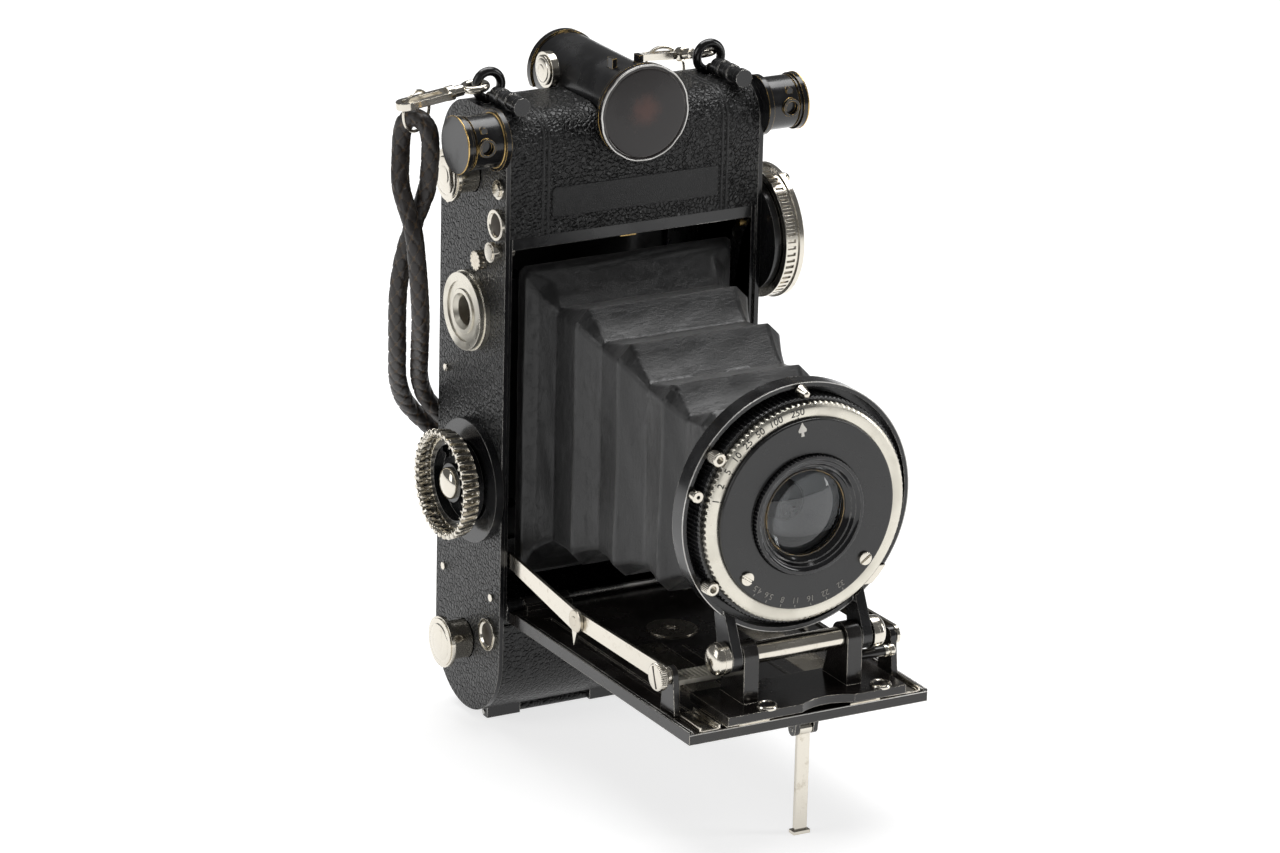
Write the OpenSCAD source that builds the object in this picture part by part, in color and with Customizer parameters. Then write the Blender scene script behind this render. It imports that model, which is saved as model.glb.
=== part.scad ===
// Folding roll-film camera with a coupled rangefinder, drawn open and standing.
// x runs across the camera, y runs back from the front rim, z is up, in mm.

/* [Body] */
// width across the two side panels
body_w = 82; // [78:1:90]
// depth from the front rim to the back
body_d = 38.6; // [38.6:0.1:38.6]
// height of the top of the housing
body_top = 181.5; // [181.5:0.1:181.5]
// height of the lower edge of the top housing
lip_z = 147.1; // [147.1:0.1:147.1]
// radius of the front top corner
corner_front = 9; // [8:0.5:9]
// radius of the rear top corner
corner_rear = 16; // [14:0.5:16]
// thickness of the leather covering
leather_t = 0.9; // [0.8:0.05:0.9]

/* [Bed] */
// width of the drop bed
bed_w = 75.2; // [70:0.2:75.2]
// distance of the bed's front edge from the front rim
bed_len = 102.5; // [100:0.5:102.5]
// height of the bed's inner surface when open
bed_z = 36.4; // [36.4:0.1:36.4]
// thickness of the bed
bed_t = 3; // [2.6:0.1:3]

/* [Lens standard] */
// height of the lens axis
lens_z = 92.3; // [92.3:0.1:92.3]
// outer radius of the speed ring
ring_r = 31.1; // [30:0.1:31.1]
// radius of the round lens plate
plate_r = 35.5; // [34:0.1:35.5]
// radius of the front glass
glass_r = 12.2; // [11:0.1:12.2]

/* [Controls] */
// radius of the winding wheel
wind_r = 16; // [15:0.1:16]
// radius of the focusing wheel
focus_r = 19.4; // [18:0.1:19.4]
// radius of the two spool knobs
knob_r = 7.45; // [7:0.05:7.45]
// number of notches round the winding wheel
wind_notches = 36; // [24:1:40]

/* [Rangefinder and finder] */
// radius of the rangefinder barrels
rf_r = 7.6; // [7:0.1:7.6]
// distance of each rangefinder cap's face from the middle
rf_x = 54.3; // [54.3:0.1:54.3]
// radius of the finder tube
finder_r = 10.5; // [10:0.1:10.5]
// radius of the finder's front disc
finder_disc_r = 13.9; // [13:0.1:13.9]

/* [Tripod socket] */
// radius of the socket's bore
socket_r = 4.2; // [4.2:0.1:4.2]
// radius of the socket's flange
socket_flange_r = 11.1; // [10.5:0.1:11.1]

/* [Hidden] */
$fn = 72;
ox = 4.52;
oy = 28.1;
end_r = body_d / 2;
low_c = 2 + end_r;
half = body_w / 2;
hinge = [2.4, 37.6];
pivot = [-94, 53.2];
door_pin_at = [14.6, 1.3];
spool_low = [20.5, 22.6];
spool_up = [20.5, 161.5];
rf_at = [5.5, 174.8];
finder_z = 181.2;
wind_at = [16.1, 72.1];
focus_at = [8.4, 136.5];
socket_at = [19.4, 121.4];
strut_e = [-86.4, 47.8];
strut_k = [-38, 47.2];
strut_a = [0.5, 52.2];
leg_at = [-99.2, 31.0];
bush_at = [-2.3, -30.5];

// where the snap hooks hang, and the rings on them
hook_left_at = [-39.6, 22, 185.5];
hook_right_at = [35.3, 25.9, 185.5];
ring_left_at = [-56.6, 24.3, 179.9];
ring_right_at = [32.5, 42, 177.8];
ring_major = 5.7;
clamp_at = [33.2, 44, 152];

// the strap's centre line: from the clamp behind the body, round its left
// edge, through the left ring and back to the clamp
strap_route = [
  [30.4, 44, 151.8], [30.3, 44, 145], [29, 43.6, 131], [25, 43.2, 113], [18, 43, 97],
  [8, 43, 84.5], [-5, 43, 76.5], [-18, 43, 73.5], [-30, 43, 76.5], [-41, 42.6, 86],
  [-46.4, 39.8, 95], [-52, 29.5, 108], [-57, 19.5, 120],
  [-59.2, 16.2, 130], [-60.8, 14.8, 139.5], [-61.6, 16, 149], [-62, 22.5, 159],
  [-59.4, 28, 167], [-58.7, 28.7, 172.5], [-58.1, 27.5, 176.4], [-56.6, 24.3, 178],
  [-55.1, 21.1, 176.4], [-54.5, 19.8, 172.5], [-54.6, 19.6, 166], [-55.3, 20.1, 158], [-57.4, 22.6, 149],
  [-59.4, 25.4, 138],
  [-60, 27.6, 126], [-57.8, 32, 109.5], [-52.3, 41.6, 94.5],
  [-44.5, 47.8, 83.5], [-30, 49.2, 71], [-14, 49.4, 66], [1, 49.4, 70], [15, 49.4, 81],
  [26, 49.2, 96], [33, 48.6, 114], [35.8, 46.4, 132], [36, 44.2, 145], [36, 44, 151.8]
];

// ---------- helpers ----------
module fr() translate([ox, oy, 0]) children();
// extrude a drawing in the y-z plane from x0 to x1
module yz(x0, x1) translate([x0, 0, 0]) rotate([90, 0, 90]) linear_extrude(x1 - x0) children();
// a cylinder along x, centred at [y, z]
module xc(x0, x1, at, r) translate([x0, at[0], at[1]]) rotate([0, 90, 0]) cylinder(h = x1 - x0, r = r);
// a cylinder along y, centred at [x, z]
module yc(y0, y1, at, r) translate([at[0], y0, at[1]]) rotate([-90, 0, 0]) cylinder(h = y1 - y0, r = r);
module ycone(y0, y1, at, r0, r1) translate([at[0], y0, at[1]]) rotate([-90, 0, 0]) cylinder(h = y1 - y0, r1 = r0, r2 = r1);
module torus(R, r) rotate_extrude() translate([R, 0]) circle(r, $fn = 32);
// a round rod from p to q
module rod(p, q, r) {
  d = q - p; l = norm(d);
  translate(p) rotate([0, acos(d[2] / l), atan2(d[1], d[0])]) cylinder(h = l, r = r);
}
// the outline of the body's side, drawn in by o
module outline(o) {
  translate([end_r, low_c]) circle(end_r - o);
  translate([o, low_c]) square([body_d - 2 * o, body_top - corner_rear - low_c]);
  translate([corner_front, body_top - corner_front]) circle(corner_front - o);
  translate([body_d - corner_rear, body_top - corner_rear]) circle(corner_rear - o);
  translate([o, body_top - corner_rear - 1]) square([body_d - corner_rear - o, corner_rear - corner_front + 1]);
  translate([corner_front, body_top - corner_front - 1]) square([body_d - corner_rear - corner_front, corner_front + 1 - o]);
}
// a flat bar with round ends in the y-z plane
module bar2(a, b, ra, rb) {
  d = b - a; l = norm(d); u = d / l; n = [-u[1], u[0]];
  polygon([a + n * ra, b + n * rb, b - n * rb, a - n * ra]);
  translate(a) circle(ra);
  translate(b) circle(rb);
}

// ---------- body ----------
// the whole shell, its two side walls included
module shell_solid() {
  difference() {
    yz(-39.6, 39.6) outline(leather_t);
    // the bellows chamber, open to the front
    translate([-38.3, -1, 33]) cube([76.6, 32, 110.5]);
    // pockets that the struts' knees fold into
    for (x = [-38.4, 35.2]) translate([x, 28.6, 62]) cube([3.2, 6, 42]);
    // spool chambers
    xc(-35, 35, spool_low, 13.2);
    xc(-35, 35, spool_up, 13);
    translate([-35, 20.5, 9.4]) cube([70, 20, 26]);
    translate([-35, 20.5, 149]) cube([70, 20, 25.4]);
    // film gate
    translate([-28.5, 30, 46]) cube([57, 10, 89]);
    // the back, which the door closes
    translate([-38.3, 33, 9.4]) cube([76.6, 10, 165]);
    // room for the door's skin
    difference() {
      translate([-45, 13.5, -5]) cube([90, 40, 179.3]);
      yz(-46, 46) outline(2.3);
    }
    // seats for the strap lugs' eyes and the finder's knob
    lug_seats();
    // room for the door's edge as it turns
    xc(-39.8, 39.8, door_pin_at, 4.1);
    // groove for the finder tube
    intersection() {
      yc(-1, 50, [0, finder_z], finder_r + 0.3);
      translate([-15, -1, 176.2]) cube([30, 60, 20]);
    }
    // passages for the knobs' shafts and the controls
    xc(-45, -34, spool_low, 5.75);
    xc(-45, -34, spool_up, 5.75);
    xc(-45, -35, [3.8, 143], 2.2);
    xc(-45, -37, [6.1, 28.6], 3.55);
    xc(-45, -37, [4.6, 150.4], 3.55);
    xc(-45, -37.5, [12.4, 138.2], 1.6);
    xc(-45, -37.5, wind_at, 2.6);
    xc(37.5, 45, focus_at, 2.6);
    xc(-45, -36, socket_at, 6.6);
  }
}
// the side walls belong to the side panels
wall_x = 38.3;
module lug_seats() {
  for (s = [-1, 1]) translate([s * 35.3 - 3.6, 17, 180.1]) cube([7.2, 6.6, 5]);
  translate([-14.2, 24.4, 179.8]) cube([3.2, 11.2, 5]);
}
module body_shell() color("#26262a") fr() {
  difference() {
    union() {
      intersection() {
        shell_solid();
        translate([-wall_x, -5, 0]) cube([2 * wall_x, 60, 200]);
      }
      // hinge ears for the bed
      for (s = [-1, 1]) xc(s > 0 ? 33 : -38.2, s > 0 ? 38.2 : -33, hinge, 1.9);
      for (s = [-1, 1]) translate([s > 0 ? 33 : -38.2, 1, 32.9]) cube([5.2, 2.8, 4.7]);
      // fixed spool pins on the right
      xc(28.2, 38.2, spool_low, 2.5);
      xc(28.2, 38.2, spool_up, 2.5);
      // knuckles of the back hinge
      for (x = [[-37.6, -27], [-4.2, 4.2], [27, 37.6]]) {
        difference() {
          union() {
            xc(x[0], x[1], door_pin_at, 1.3);
            translate([x[0], 12.6, 0]) cube([x[1] - x[0], 2, 2.6]);
          }
          xc(x[0] - 1, x[1] + 1, door_pin_at, 0.76);
        }
        translate([x[0], 12.6, 2.5]) cube([x[1] - x[0], 0.7, 3.6]);
      }
    }
    xc(-45, 45, hinge, 1.05);
  }
}
module side_plate(s) {
  difference() {
    union() {
      yz(s > 0 ? 39.6 : -half, s > 0 ? half : -39.6) outline(0);
      intersection() {
        shell_solid();
        translate([s > 0 ? wall_x : -39.7, -5, 0]) cube([39.7 - wall_x, 60, 200]);
      }
    }
    if (s < 0) {
      xc(-45, -37, spool_low, 5.75);
      xc(-45, -37, spool_up, 5.75);
      xc(-45, -37, [3.8, 143], 2.2);
      xc(-45, -37, [6.1, 28.6], 3.55);
      xc(-45, -37, [4.6, 150.4], 3.55);
      xc(-45, -37, [12.4, 138.2], 1.6);
      xc(-45, -37, wind_at, 2.6);
      xc(-45, -37, socket_at, 6.6);
    } else {
      xc(37, 45, focus_at, 2.6);
    }
  }
}
module side_left() color("#1d1d1f") fr() side_plate(-1);
module side_right() color("#1d1d1f") fr() side_plate(1);
module skin(y1, z0, z1) intersection() {
  difference() { yz(-39.5, 39.5) outline(0); yz(-46, 46) outline(leather_t - 0.02); }
  translate([-46, -1, z0]) cube([92, y1 + 1, z1 - z0]);
}
module top_cover() color("#1b1b1d") fr() difference() {
  skin(36, lip_z, 200);
  translate([-45, 13.5, 140]) cube([90, 40, 34.3]);
  yc(-1, 50, [0, finder_z], finder_r + 0.3);
  lug_seats();
}
module lower_cover() color("#1b1b1d") fr() skin(12.4, -1, 32.6);

// ---------- back door ----------
module door() color("#1c1c1f") fr() {
  difference() {
    intersection() {
      difference() { yz(-39.4, 39.4) outline(0); yz(-46, 46) outline(2); }
      translate([-46, 13.8, -1]) cube([92, 40, 175]);
    }
    // room round the body's knuckles
    for (x = [[-37.8, -26.8], [-4.4, 4.4], [26.8, 37.8]]) xc(x[0], x[1], door_pin_at, 2.9);
  }
  difference() {
    for (x = [[-26.8, -4.4], [4.4, 26.8]]) {
      xc(x[0], x[1], door_pin_at, 1.3);
      translate([x[0], 13.8, 1.6]) cube([x[1] - x[0], 2, 1.6]);
    }
    xc(-30, 30, door_pin_at, 0.76);
  }
  for (z = [60, 120]) yc(34.6, 37, [0, z], 3);
}
module pressure_plate() color("#2a2a2c") fr() difference() {
  translate([-29, 33.5, 44]) cube([58, 1.1, 93]);
  for (z = [56, 125], x = [-20, 20]) yc(33, 35, [x, z], 1.6);
}
module door_pin() color("#b9b6ae") fr() xc(-37.9, 37.9, door_pin_at, 0.7);
module door_latch() color("#bdbab2") fr() {
  translate([-6, 38.7, 166]) cube([12, 1.6, 5]);
  translate([-7.5, 40.2, 167]) cube([15, 0.9, 3]);
}

// ---------- film spools and knobs ----------
module spool(at) difference() {
  union() {
    xc(-30.4, 30.4, at, 5.2);
    for (x = [-30.6, 29.5]) xc(x, x + 1.1, at, 12);
  }
  xc(-31, 31, at, 2.56);
}
module spool_feed() color("#26282c") fr() spool(spool_low);
module spool_takeup() color("#26282c") fr() spool(spool_up);
module spool_knob(at) {
  xc(-48.9, -47.7, at, knob_r);
  xc(-49.2, -48.8, at, knob_r - 0.8);
  xc(-47.8, -41.3, at, 5.6);
  xc(-41.4, -28.4, at, 2.5);
}
module knob_upper() color("#cfccc4") fr() spool_knob(spool_up);
module knob_lower() color("#cfccc4") fr() spool_knob(spool_low);

// ---------- left side fittings ----------
module socket() color("#d3d0c8") fr() difference() {
  union() {
    xc(-42.6, -half, socket_at, socket_flange_r + 0.4);
    xc(-44.2, -42.5, socket_at, socket_flange_r);
    xc(-half - 0.1, -38.6, socket_at, 6.55);
  }
  xc(-50, -39.2, socket_at, socket_r);
  translate([-44.3, socket_at[0], socket_at[1]]) rotate([0, 90, 0]) cylinder(h = 1.3, r1 = 5.3, r2 = socket_r);
  difference() {
    xc(-44.4, -43.8, socket_at, 8.6);
    xc(-45, -43, socket_at, 6.4);
  }
}
module rimmed(at, R) difference() {
  union() { xc(-42, -half, at, R); xc(-half - 0.1, -38.4, at, 3.5); }
  xc(-43, -38.9, at, 3.0);
  translate([-42.1, at[0], at[1]]) rotate([0, 90, 0]) cylinder(h = 0.8, r1 = R - 0.8, r2 = 3.0);
}
module eyelets() color("#d6d2c6") fr() { rimmed([6.1, 28.6], 4.7); rimmed([4.6, 150.4], 4.4); }
module side_screws() color("#c8c4b8") fr() {
  xc(-41.8, -half, [3.6, 160.9], 2.8);
  xc(-42.5, -41.7, [3.6, 160.9], 2.0);
  for (p = [[5, 40], [34, 40], [34, 150], [34, 100], [33.6, 60]]) xc(-41.5, -half, p, 1.1);
  for (p = [[5, 30], [34, 30], [34, 150], [34, 90]]) xc(half, half + 0.5, p, 1.1);
}
module release_button() color("#d3cfc3") fr() {
  xc(-44, -42.6, [3.8, 143], 2.85);
  xc(-44.3, -43.9, [3.8, 143], 2.2);
  xc(-42.7, -37.1, [3.8, 143], 2.1);
}
module fluted_knob() color("#cdc8bb") fr() {
  difference() {
    xc(-43.9, -41.3, [12.4, 138.2], 2.8);
    for (i = [0:11]) translate([-44.2, 12.4, 138.2]) rotate([i * 30, 0, 0]) translate([0, 0, 2.75]) cube([3.4, 0.5, 0.7], center = true);
  }
  xc(-41.4, -38, [12.4, 138.2], 1.5);
}
module wind_wheel() color("#d8d5cd") fr() difference() {
  xc(-52.4, -47.3, wind_at, wind_r);
  xc(-53, -47.9, wind_at, 12.9);
  xc(-53, -47, wind_at, 11.8);
  for (i = [0:wind_notches - 1]) translate([-52.4, wind_at[0], wind_at[1]])
    rotate([i * 360 / wind_notches, 0, 0]) translate([0, 0, 15.7]) cube([6.4, 1.3, 1.6], center = true);
}
module wind_dish() color("#222224") fr() {
  difference() {
    xc(-48.4, -44.2, wind_at, 11.7);
    xc(-50, -45.2, wind_at, 10.9);
  }
  difference() {
    xc(-48.4, -47.92, wind_at, 12.8);
    xc(-50, -45.2, wind_at, 10.9);
  }
  xc(-44.3, -38.6, wind_at, 2.5);
  xc(-48.6, -45, wind_at, 5.6);
  xc(-46.6, -45.1, [24.2, 77.6], 1.0);
}
module wind_scale() color("#1f1f21") fr() difference() {
  xc(-43.6, -half, wind_at, 17.8);
  xc(-45, -40, wind_at, 2.6);
}
module focus_wheel() color("#8f8d88") fr() {
  difference() {
    union() {
      xc(43.4, 47.6, focus_at, focus_r - 0.5);
      xc(47.5, 49, focus_at, focus_r);
    }
    xc(43, 46.2, focus_at, 15.4);
    for (i = [0:59]) translate([45.2, focus_at[0], focus_at[1]])
      rotate([i * 6, 0, 0]) translate([0, 0, focus_r - 0.5]) cube([2.6, 0.9, 1.1], center = true);
  }
  xc(38.6, 46.4, focus_at, 2.5);
  xc(49, 52.4, [focus_at[0], focus_at[1] + 14.4], 0.8);
  translate([53.2, focus_at[0], focus_at[1] + 14.4]) sphere(1.7);
}
module focus_drum() color("#202022") fr() difference() {
  xc(half, 43, focus_at, 16.6);
  xc(40, 45, focus_at, 2.6);
}

// ---------- rangefinder and finder ----------
module rf_barrel(s) {
  m = s > 0 ? 0 : 1;
  mirror([m, 0, 0]) {
    xc(half, 42.6, rf_at, rf_r + 1.1);
    difference() {
      xc(42.5, 52.5, rf_at, rf_r);
      xc(51.2, 51.7, rf_at, rf_r + 1);
      yc(-5, -1.4, [48.4, rf_at[1] + 0.4], 1.9);
    }
    xc(51.1, 51.8, rf_at, rf_r - 0.5);
    difference() {
      yc(-2.8, -1, [48.4, rf_at[1] + 0.4], 2.6);
      yc(-3, -1.4, [48.4, rf_at[1] + 0.4], 1.9);
    }
    yc(-0.9, 1, [48.6, rf_at[1] + 4.9], 1.0);
  }
}
module rf_left() color("#202023") fr() rf_barrel(-1);
module rf_right() color("#202023") fr() rf_barrel(1);
module rf_caps() color("#6d5a2c") fr() for (s = [-1, 1]) {
  xc(s > 0 ? 52.55 : -rf_x, s > 0 ? rf_x : -52.55, rf_at, 8.1);
}
module finder_tube() color("#1e1e20") fr() {
  difference() {
    intersection() {
      union() {
        yc(-1.6, 44, [0, finder_z], finder_r);
        yc(-2.6, -1.5, [0, finder_z - 1.2], finder_disc_r);
      }
      union() {
        translate([-20, -5, 176.5]) cube([40, 60, 30]);
        translate([-20, -5, 150]) cube([40, 4.8, 30]);
      }
    }
    yc(38, 45, [0, finder_z + 1.5], 6);
    yc(-3, 39, [0, finder_z + 1.5], 5);
  }
  intersection() {
    difference() { yc(42.6, 44.6, [0, finder_z], finder_r + 0.5); yc(40, 46, [0, finder_z + 1.5], 6); }
    translate([-20, 40, 176.5]) cube([40, 10, 30]);
  }
  for (x = [-4.2, 4.2]) translate([x - 0.7, 6, 190]) cube([1.4, 3, 3.4]);
}
module finder_disc() color("#2c2624") fr() yc(-4.4, -2.7, [0, finder_z - 1.2], finder_disc_r);
module finder_knob() color("#d0ccc2") fr() {
  xc(-13.4, -11.2, [30, 185.2], 5.2);
  xc(-13.8, -13.3, [30, 185.2], 3.4);
}

// ---------- strap fittings ----------
module lug(x) {
  yc(2, 4, [x, 184.1], 2.6);
  yc(3.9, 17.4, [x, 184.1], 2.2);
  yc(8, 10, [x, 184.1], 2.55);
  yc(13, 14.4, [x, 184.1], 2.55);
  translate([x, 22, 185.5]) rotate([90, 0, 0]) torus(3.9, 1.3);
  yc(17.3, 21.4, [x, 182.4], 1.4);
}
module lugs() color("#1f1f22") fr() { lug(-35.3); lug(35.3); }
module hook() {
  // the loop in the lug's eye, at the origin, and the hook along -x
  torus(3.2, 1.1);
  rod([-4.0, 0, 0], [-7, 0, 0], 1.6);
  rod([-6.9, 0, 0], [-9, 0, 0], 2.1);
  difference() {
    union() {
      translate([-21.5, -2.9, -1]) cube([13, 5.8, 2]);
      translate([-21.5, 0, -1]) cylinder(h = 2, r = 2.9);
    }
    translate([-21.5, -1.3, -2]) cube([11, 2.6, 4]);
    translate([-21.5, 0, -2]) cylinder(h = 4, r = 1.3);
  }
}
module snap_hooks() color("#d5d0c2") fr() {
  translate(hook_left_at) rotate([0, -7, 0]) hook();
  translate(hook_right_at) rotate([0, 0, -72]) rotate([0, -14, 0]) hook();
}
module split_rings() color("#cfcbbf") fr() {
  translate(ring_left_at) rotate([90, 0, 25]) torus(ring_major, 0.47);
  translate(ring_right_at) rotate([90, 0, -47]) torus(ring_major, 0.47);
}
// the clamp that joins the strap's two ends, with a bail through the ring
module strap_clamp() color("#b9b4a6") fr() {
  translate([ring_right_at[0], ring_right_at[1], ring_right_at[2] - ring_major - 1.6])
    rotate([90, 0, 43]) torus(3.2, 0.8);
  translate(clamp_at) linear_extrude(14.6) {
    translate([-2.8, 0]) circle(3.3);
    translate([2.8, 0]) circle(3.3);
    square([5.6, 6.6], center = true);
  }
}

// the strap: one tube swept along its route
strap_r = 2.6;
strap_sides = 8;
function catmull(a, b, c, d, t) = 0.5 * (2 * b + (c - a) * t + (2 * a - 5 * b + 4 * c - d) * t * t + (3 * b - a - 3 * c + d) * t * t * t);
strap_n = len(strap_route);
strap_path = [for (i = [0:strap_n - 2], s = [0:1]) let(
    a = strap_route[max(i - 1, 0)], b = strap_route[i],
    c = strap_route[i + 1], d = strap_route[min(i + 2, strap_n - 1)])
  catmull(a, b, c, d, s / 2), strap_route[strap_n - 1]];
function unit(v) = v / norm(v);
function tangent(p, i) = unit(p[min(i + 1, len(p) - 1)] - p[max(i - 1, 0)]);
// the ring's first direction is carried along from the one before
function frames(p, i, n) = i >= len(p) ? [] : let(t = tangent(p, i), m = unit(n - t * (n * t)))
  concat([[m, cross(t, m)]], frames(p, i + 1, m));
module tube(p, r, k) {
  f = frames(p, 0, [1, 0.2, 0.1]);
  pts = [for (i = [0:len(p) - 1], j = [0:k - 1]) p[i] + r * (cos(j * 360 / k) * f[i][0] + sin(j * 360 / k) * f[i][1])];
  sides = [for (i = [0:len(p) - 2], j = [0:k - 1]) [i * k + j, i * k + (j + 1) % k, (i + 1) * k + (j + 1) % k, (i + 1) * k + j]];
  polyhedron(points = pts, faces = concat(sides, [[for (j = [k - 1:-1:0]) j]], [[for (j = [0:k - 1]) (len(p) - 1) * k + j]]));
}
module strap() color("#2b2320") fr() tube(strap_path, strap_r, strap_sides);

// ---------- bed ----------
module bed_pin() color("#bdb9b0") fr() xc(-38.1, 38.1, hinge, 1.0);
module bed() color("#1f1f22") fr() {
  difference() {
    union() {
      translate([-bed_w / 2, -bed_len, bed_z - bed_t]) cube([bed_w, bed_len + 0.6, bed_t]);
      // raised rims along the sides
      for (x = [-bed_w / 2, bed_w / 2 - 1.4]) translate([x, -bed_len, bed_z - 0.1]) cube([1.4, bed_len - 3, 0.6]);
      // hinge knuckles
      for (x = [[-32.6, -18], [18, 32.6]]) {
        xc(x[0], x[1], hinge, 1.9);
        translate([x[0], -1, 35]) cube([x[1] - x[0], 3, 3]);
      }
      // ears for the struts
      for (s = [-1, 1]) {
        yz(s > 0 ? 33.6 : -35.4, s > 0 ? 35.4 : -33.6) bar2([strut_e[0], bed_z], strut_e, 4, 2.6);
        xc(s > 0 ? 35.3 : -37.5, s > 0 ? 37.5 : -35.3, strut_e, 1.3);
      }
      // ears for the leg
      for (x = [-3.6, 2.2]) yz(x, x + 1.4) bar2([leg_at[0], bed_z - bed_t + 0.5], leg_at, 2.4, 1.9);
    }
    xc(-45, 45, hinge, 1.05);
    xc(-5, 5, leg_at, 0.76);
    // two long grooves
    for (x = [-31, 28.6]) translate([x, -bed_len + 6, bed_z - 0.6]) cube([2.4, bed_len - 14, 2]);
    // seat for the round plate
    translate([bush_at[0], bush_at[1], bed_z - 0.5]) cylinder(h = 2, r = 7.4);
    translate([bush_at[0], bush_at[1], bed_z - 4]) cylinder(h = 8, r = 1.6);
  }
  xc(-3.7, 3.7, leg_at, 0.7);
}
module bed_bush() color("#a9a69c") fr() difference() {
  translate([bush_at[0], bush_at[1], bed_z - 0.45]) cylinder(h = 0.75, r = 7.2);
  translate([bush_at[0], bush_at[1], bed_z - 4]) cylinder(h = 8, r = 1.6);
}
module bed_lever() color("#cfccc2") fr() {
  translate([-33.4, -86.8, bed_z + 7.9]) cube([14.4, 7, 1.4]);
  for (i = [0:7]) translate([-29 + i * 1.3, -86.4, bed_z + 9.2]) cube([0.7, 6.2, 0.35]);
  translate([-33.4, -86.8, bed_z + 0.1]) cube([1.6, 7, 8]);
  xc(-33.5, -31.9, [-82.1, bed_z + 8.6], 2.4);
}
module leg() color("#c9c6be") fr() {
  difference() {
    union() {
      xc(-1.9, 1.9, leg_at, 1.8);
      translate([-1.9, leg_at[0] - 0.6, 0]) cube([3.8, 1.2, leg_at[1]]);
    }
    xc(-4, 4, leg_at, 0.76);
  }
  translate([-2.6, leg_at[0] - 1.4, 0]) cube([5.2, 2.8, 1]);
}
module bed_rails() color("#c9c5b6") fr() for (m = [0, 1]) {
  mirror([m, 0, 0]) difference() {
    translate([12.8, -bed_len - 0.2, bed_z]) cube([9.4, 62, 1.35]);
    translate([11.8, -bed_len - 2, bed_z + 0.5]) cube([9.2, 70, 0.5]);
  }
}
module focus_rail() color("#8d8a80") fr() {
  translate([-12.4, -96, bed_z + 0.2]) cube([24.8, 54, 1.3]);
  for (x = [-8, 7]) translate([x, -90, bed_z + 1.4]) cube([1, 44, 0.25]);
}
module strut_front(s) {
  x0 = s > 0 ? 35.7 : -36.7; x1 = s > 0 ? 36.7 : -35.7;
  difference() {
    union() { yz(x0, x1) bar2(strut_k, strut_e, 2.4, 2.7); }
    xc(x0 - 1, x1 + 1, strut_e, 1.36);
  }
  // the knee's rivet
  xc(s > 0 ? 36.6 : -38.05, s > 0 ? 38.05 : -36.6, strut_k, 1.2);
}
module strut_rear(s) {
  x0 = s > 0 ? 36.85 : -37.85; x1 = s > 0 ? 37.85 : -36.85;
  difference() {
    union() {
      yz(x0, x1) bar2(strut_k, strut_a, 3.1, 2.2);
      yz(x0, x1) polygon([strut_k + [-1.6, -2.2], strut_k + [1.6, -2.2], strut_k + [0.2, -7.2]]);
    }
    xc(x0 - 1, x1 + 1, strut_k, 1.26);
  }
}
module strut_front_left() color("#cfccc2") fr() strut_front(-1);
module strut_front_right() color("#cfccc2") fr() strut_front(1);
module strut_rear_left() color("#cfccc2") fr() strut_rear(-1);
module strut_rear_right() color("#cfccc2") fr() strut_rear(1);

// ---------- lens standard ----------
module carriage() color("#1f1f22") fr() {
  difference() {
    union() {
      translate([-27, -105, bed_z + 1.7]) cube([56, 21, 2.4]);
      // yoke arms
      for (s = [-1, 1]) yz(s > 0 ? 14 : -18.6, s > 0 ? 18.6 : -14) bar2([-92, bed_z + 3.4], pivot, 6.5, 4.3);
      // two bosses on the saddle
      for (x = [-13.5, 22.5]) translate([x, -102.2, bed_z + 4]) cylinder(h = 0.7, r = 2.6);
    }
    // the saddle's hollow front edge
    translate([4.5, -118, bed_z]) cylinder(h = 6, r = 15.4);
    xc(-30, 30, pivot, 1.56);
    // a flat so that the arms end on the base
    translate([-40, -110, bed_z - 10]) cube([80, 40, 11.7]);
  }
  xc(18.5, 28.4, [-93.5, 46.5], 1.5);
}
module axle() color("#cdcabf") fr() {
  xc(-13.7, 13.7, pivot, 3.0);
  xc(-22.4, 22.4, pivot, 1.5);
}
module lens_board() color("#202023") fr() difference() {
  union() {
    yc(-92, -86.5, [0, lens_z], plate_r);
    for (s = [-1, 1]) yz(s > 0 ? 19 : -22, s > 0 ? 22 : -19) bar2(pivot, [-89.4, 66], 4.2, 2.6);
  }
  yc(-93, -87.8, [0, lens_z], plate_r - 1.3);
  yc(-93, -86, [0, lens_z], 16);
  xc(-30, 30, pivot, 1.56);
  translate([-18.8, -110, pivot[1] - 6]) cube([37.6, 40, 9.4]);
}
module axle_nuts() color("#d1cdc3") fr() for (s = [-1, 1]) {
  xc(s > 0 ? 22.5 : -24.3, s > 0 ? 24.3 : -22.5, pivot, 4.6);
  xc(s > 0 ? 24.2 : -25.2, s > 0 ? 25.2 : -24.2, pivot, 3.6);
}
module shutter_body() color("#1c1c1e") fr() difference() {
  union() {
    yc(-94.6, -87.85, [0, lens_z], 32.2);
    yc(-96.8, -94.5, [0, lens_z], 27.1);
  }
  yc(-100, -80, [0, lens_z], 17.2);
}
module speed_ring() color("#c9c4b4") fr() difference() {
  yc(-96.9, -94.7, [0, lens_z], ring_r);
  yc(-98, -94, [0, lens_z], 27.15);
  for (i = [0:95]) translate([0, -96.2, lens_z]) rotate([0, i * 3.75, 0]) translate([0, 0, ring_r]) cube([0.7, 1.6, 0.7], center = true);
}
module shutter_face() color("#18181a") fr() difference() {
  yc(-98, -96.85, [0, lens_z], 27.0);
  yc(-99, -95, [0, lens_z], 17.2);
}
module lens_barrel() color("#1a1a1c") fr() difference() {
  union() {
    yc(-99.6, -84, [0, lens_z], 15.9);
    yc(-99.6, -88, [0, lens_z], 17.0);
  }
  translate([0, -99.7, lens_z]) rotate([-90, 0, 0]) cylinder(h = 2.8, r1 = 15.6, r2 = glass_r);
  yc(-100, -80, [0, lens_z], 12.3);
}
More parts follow.
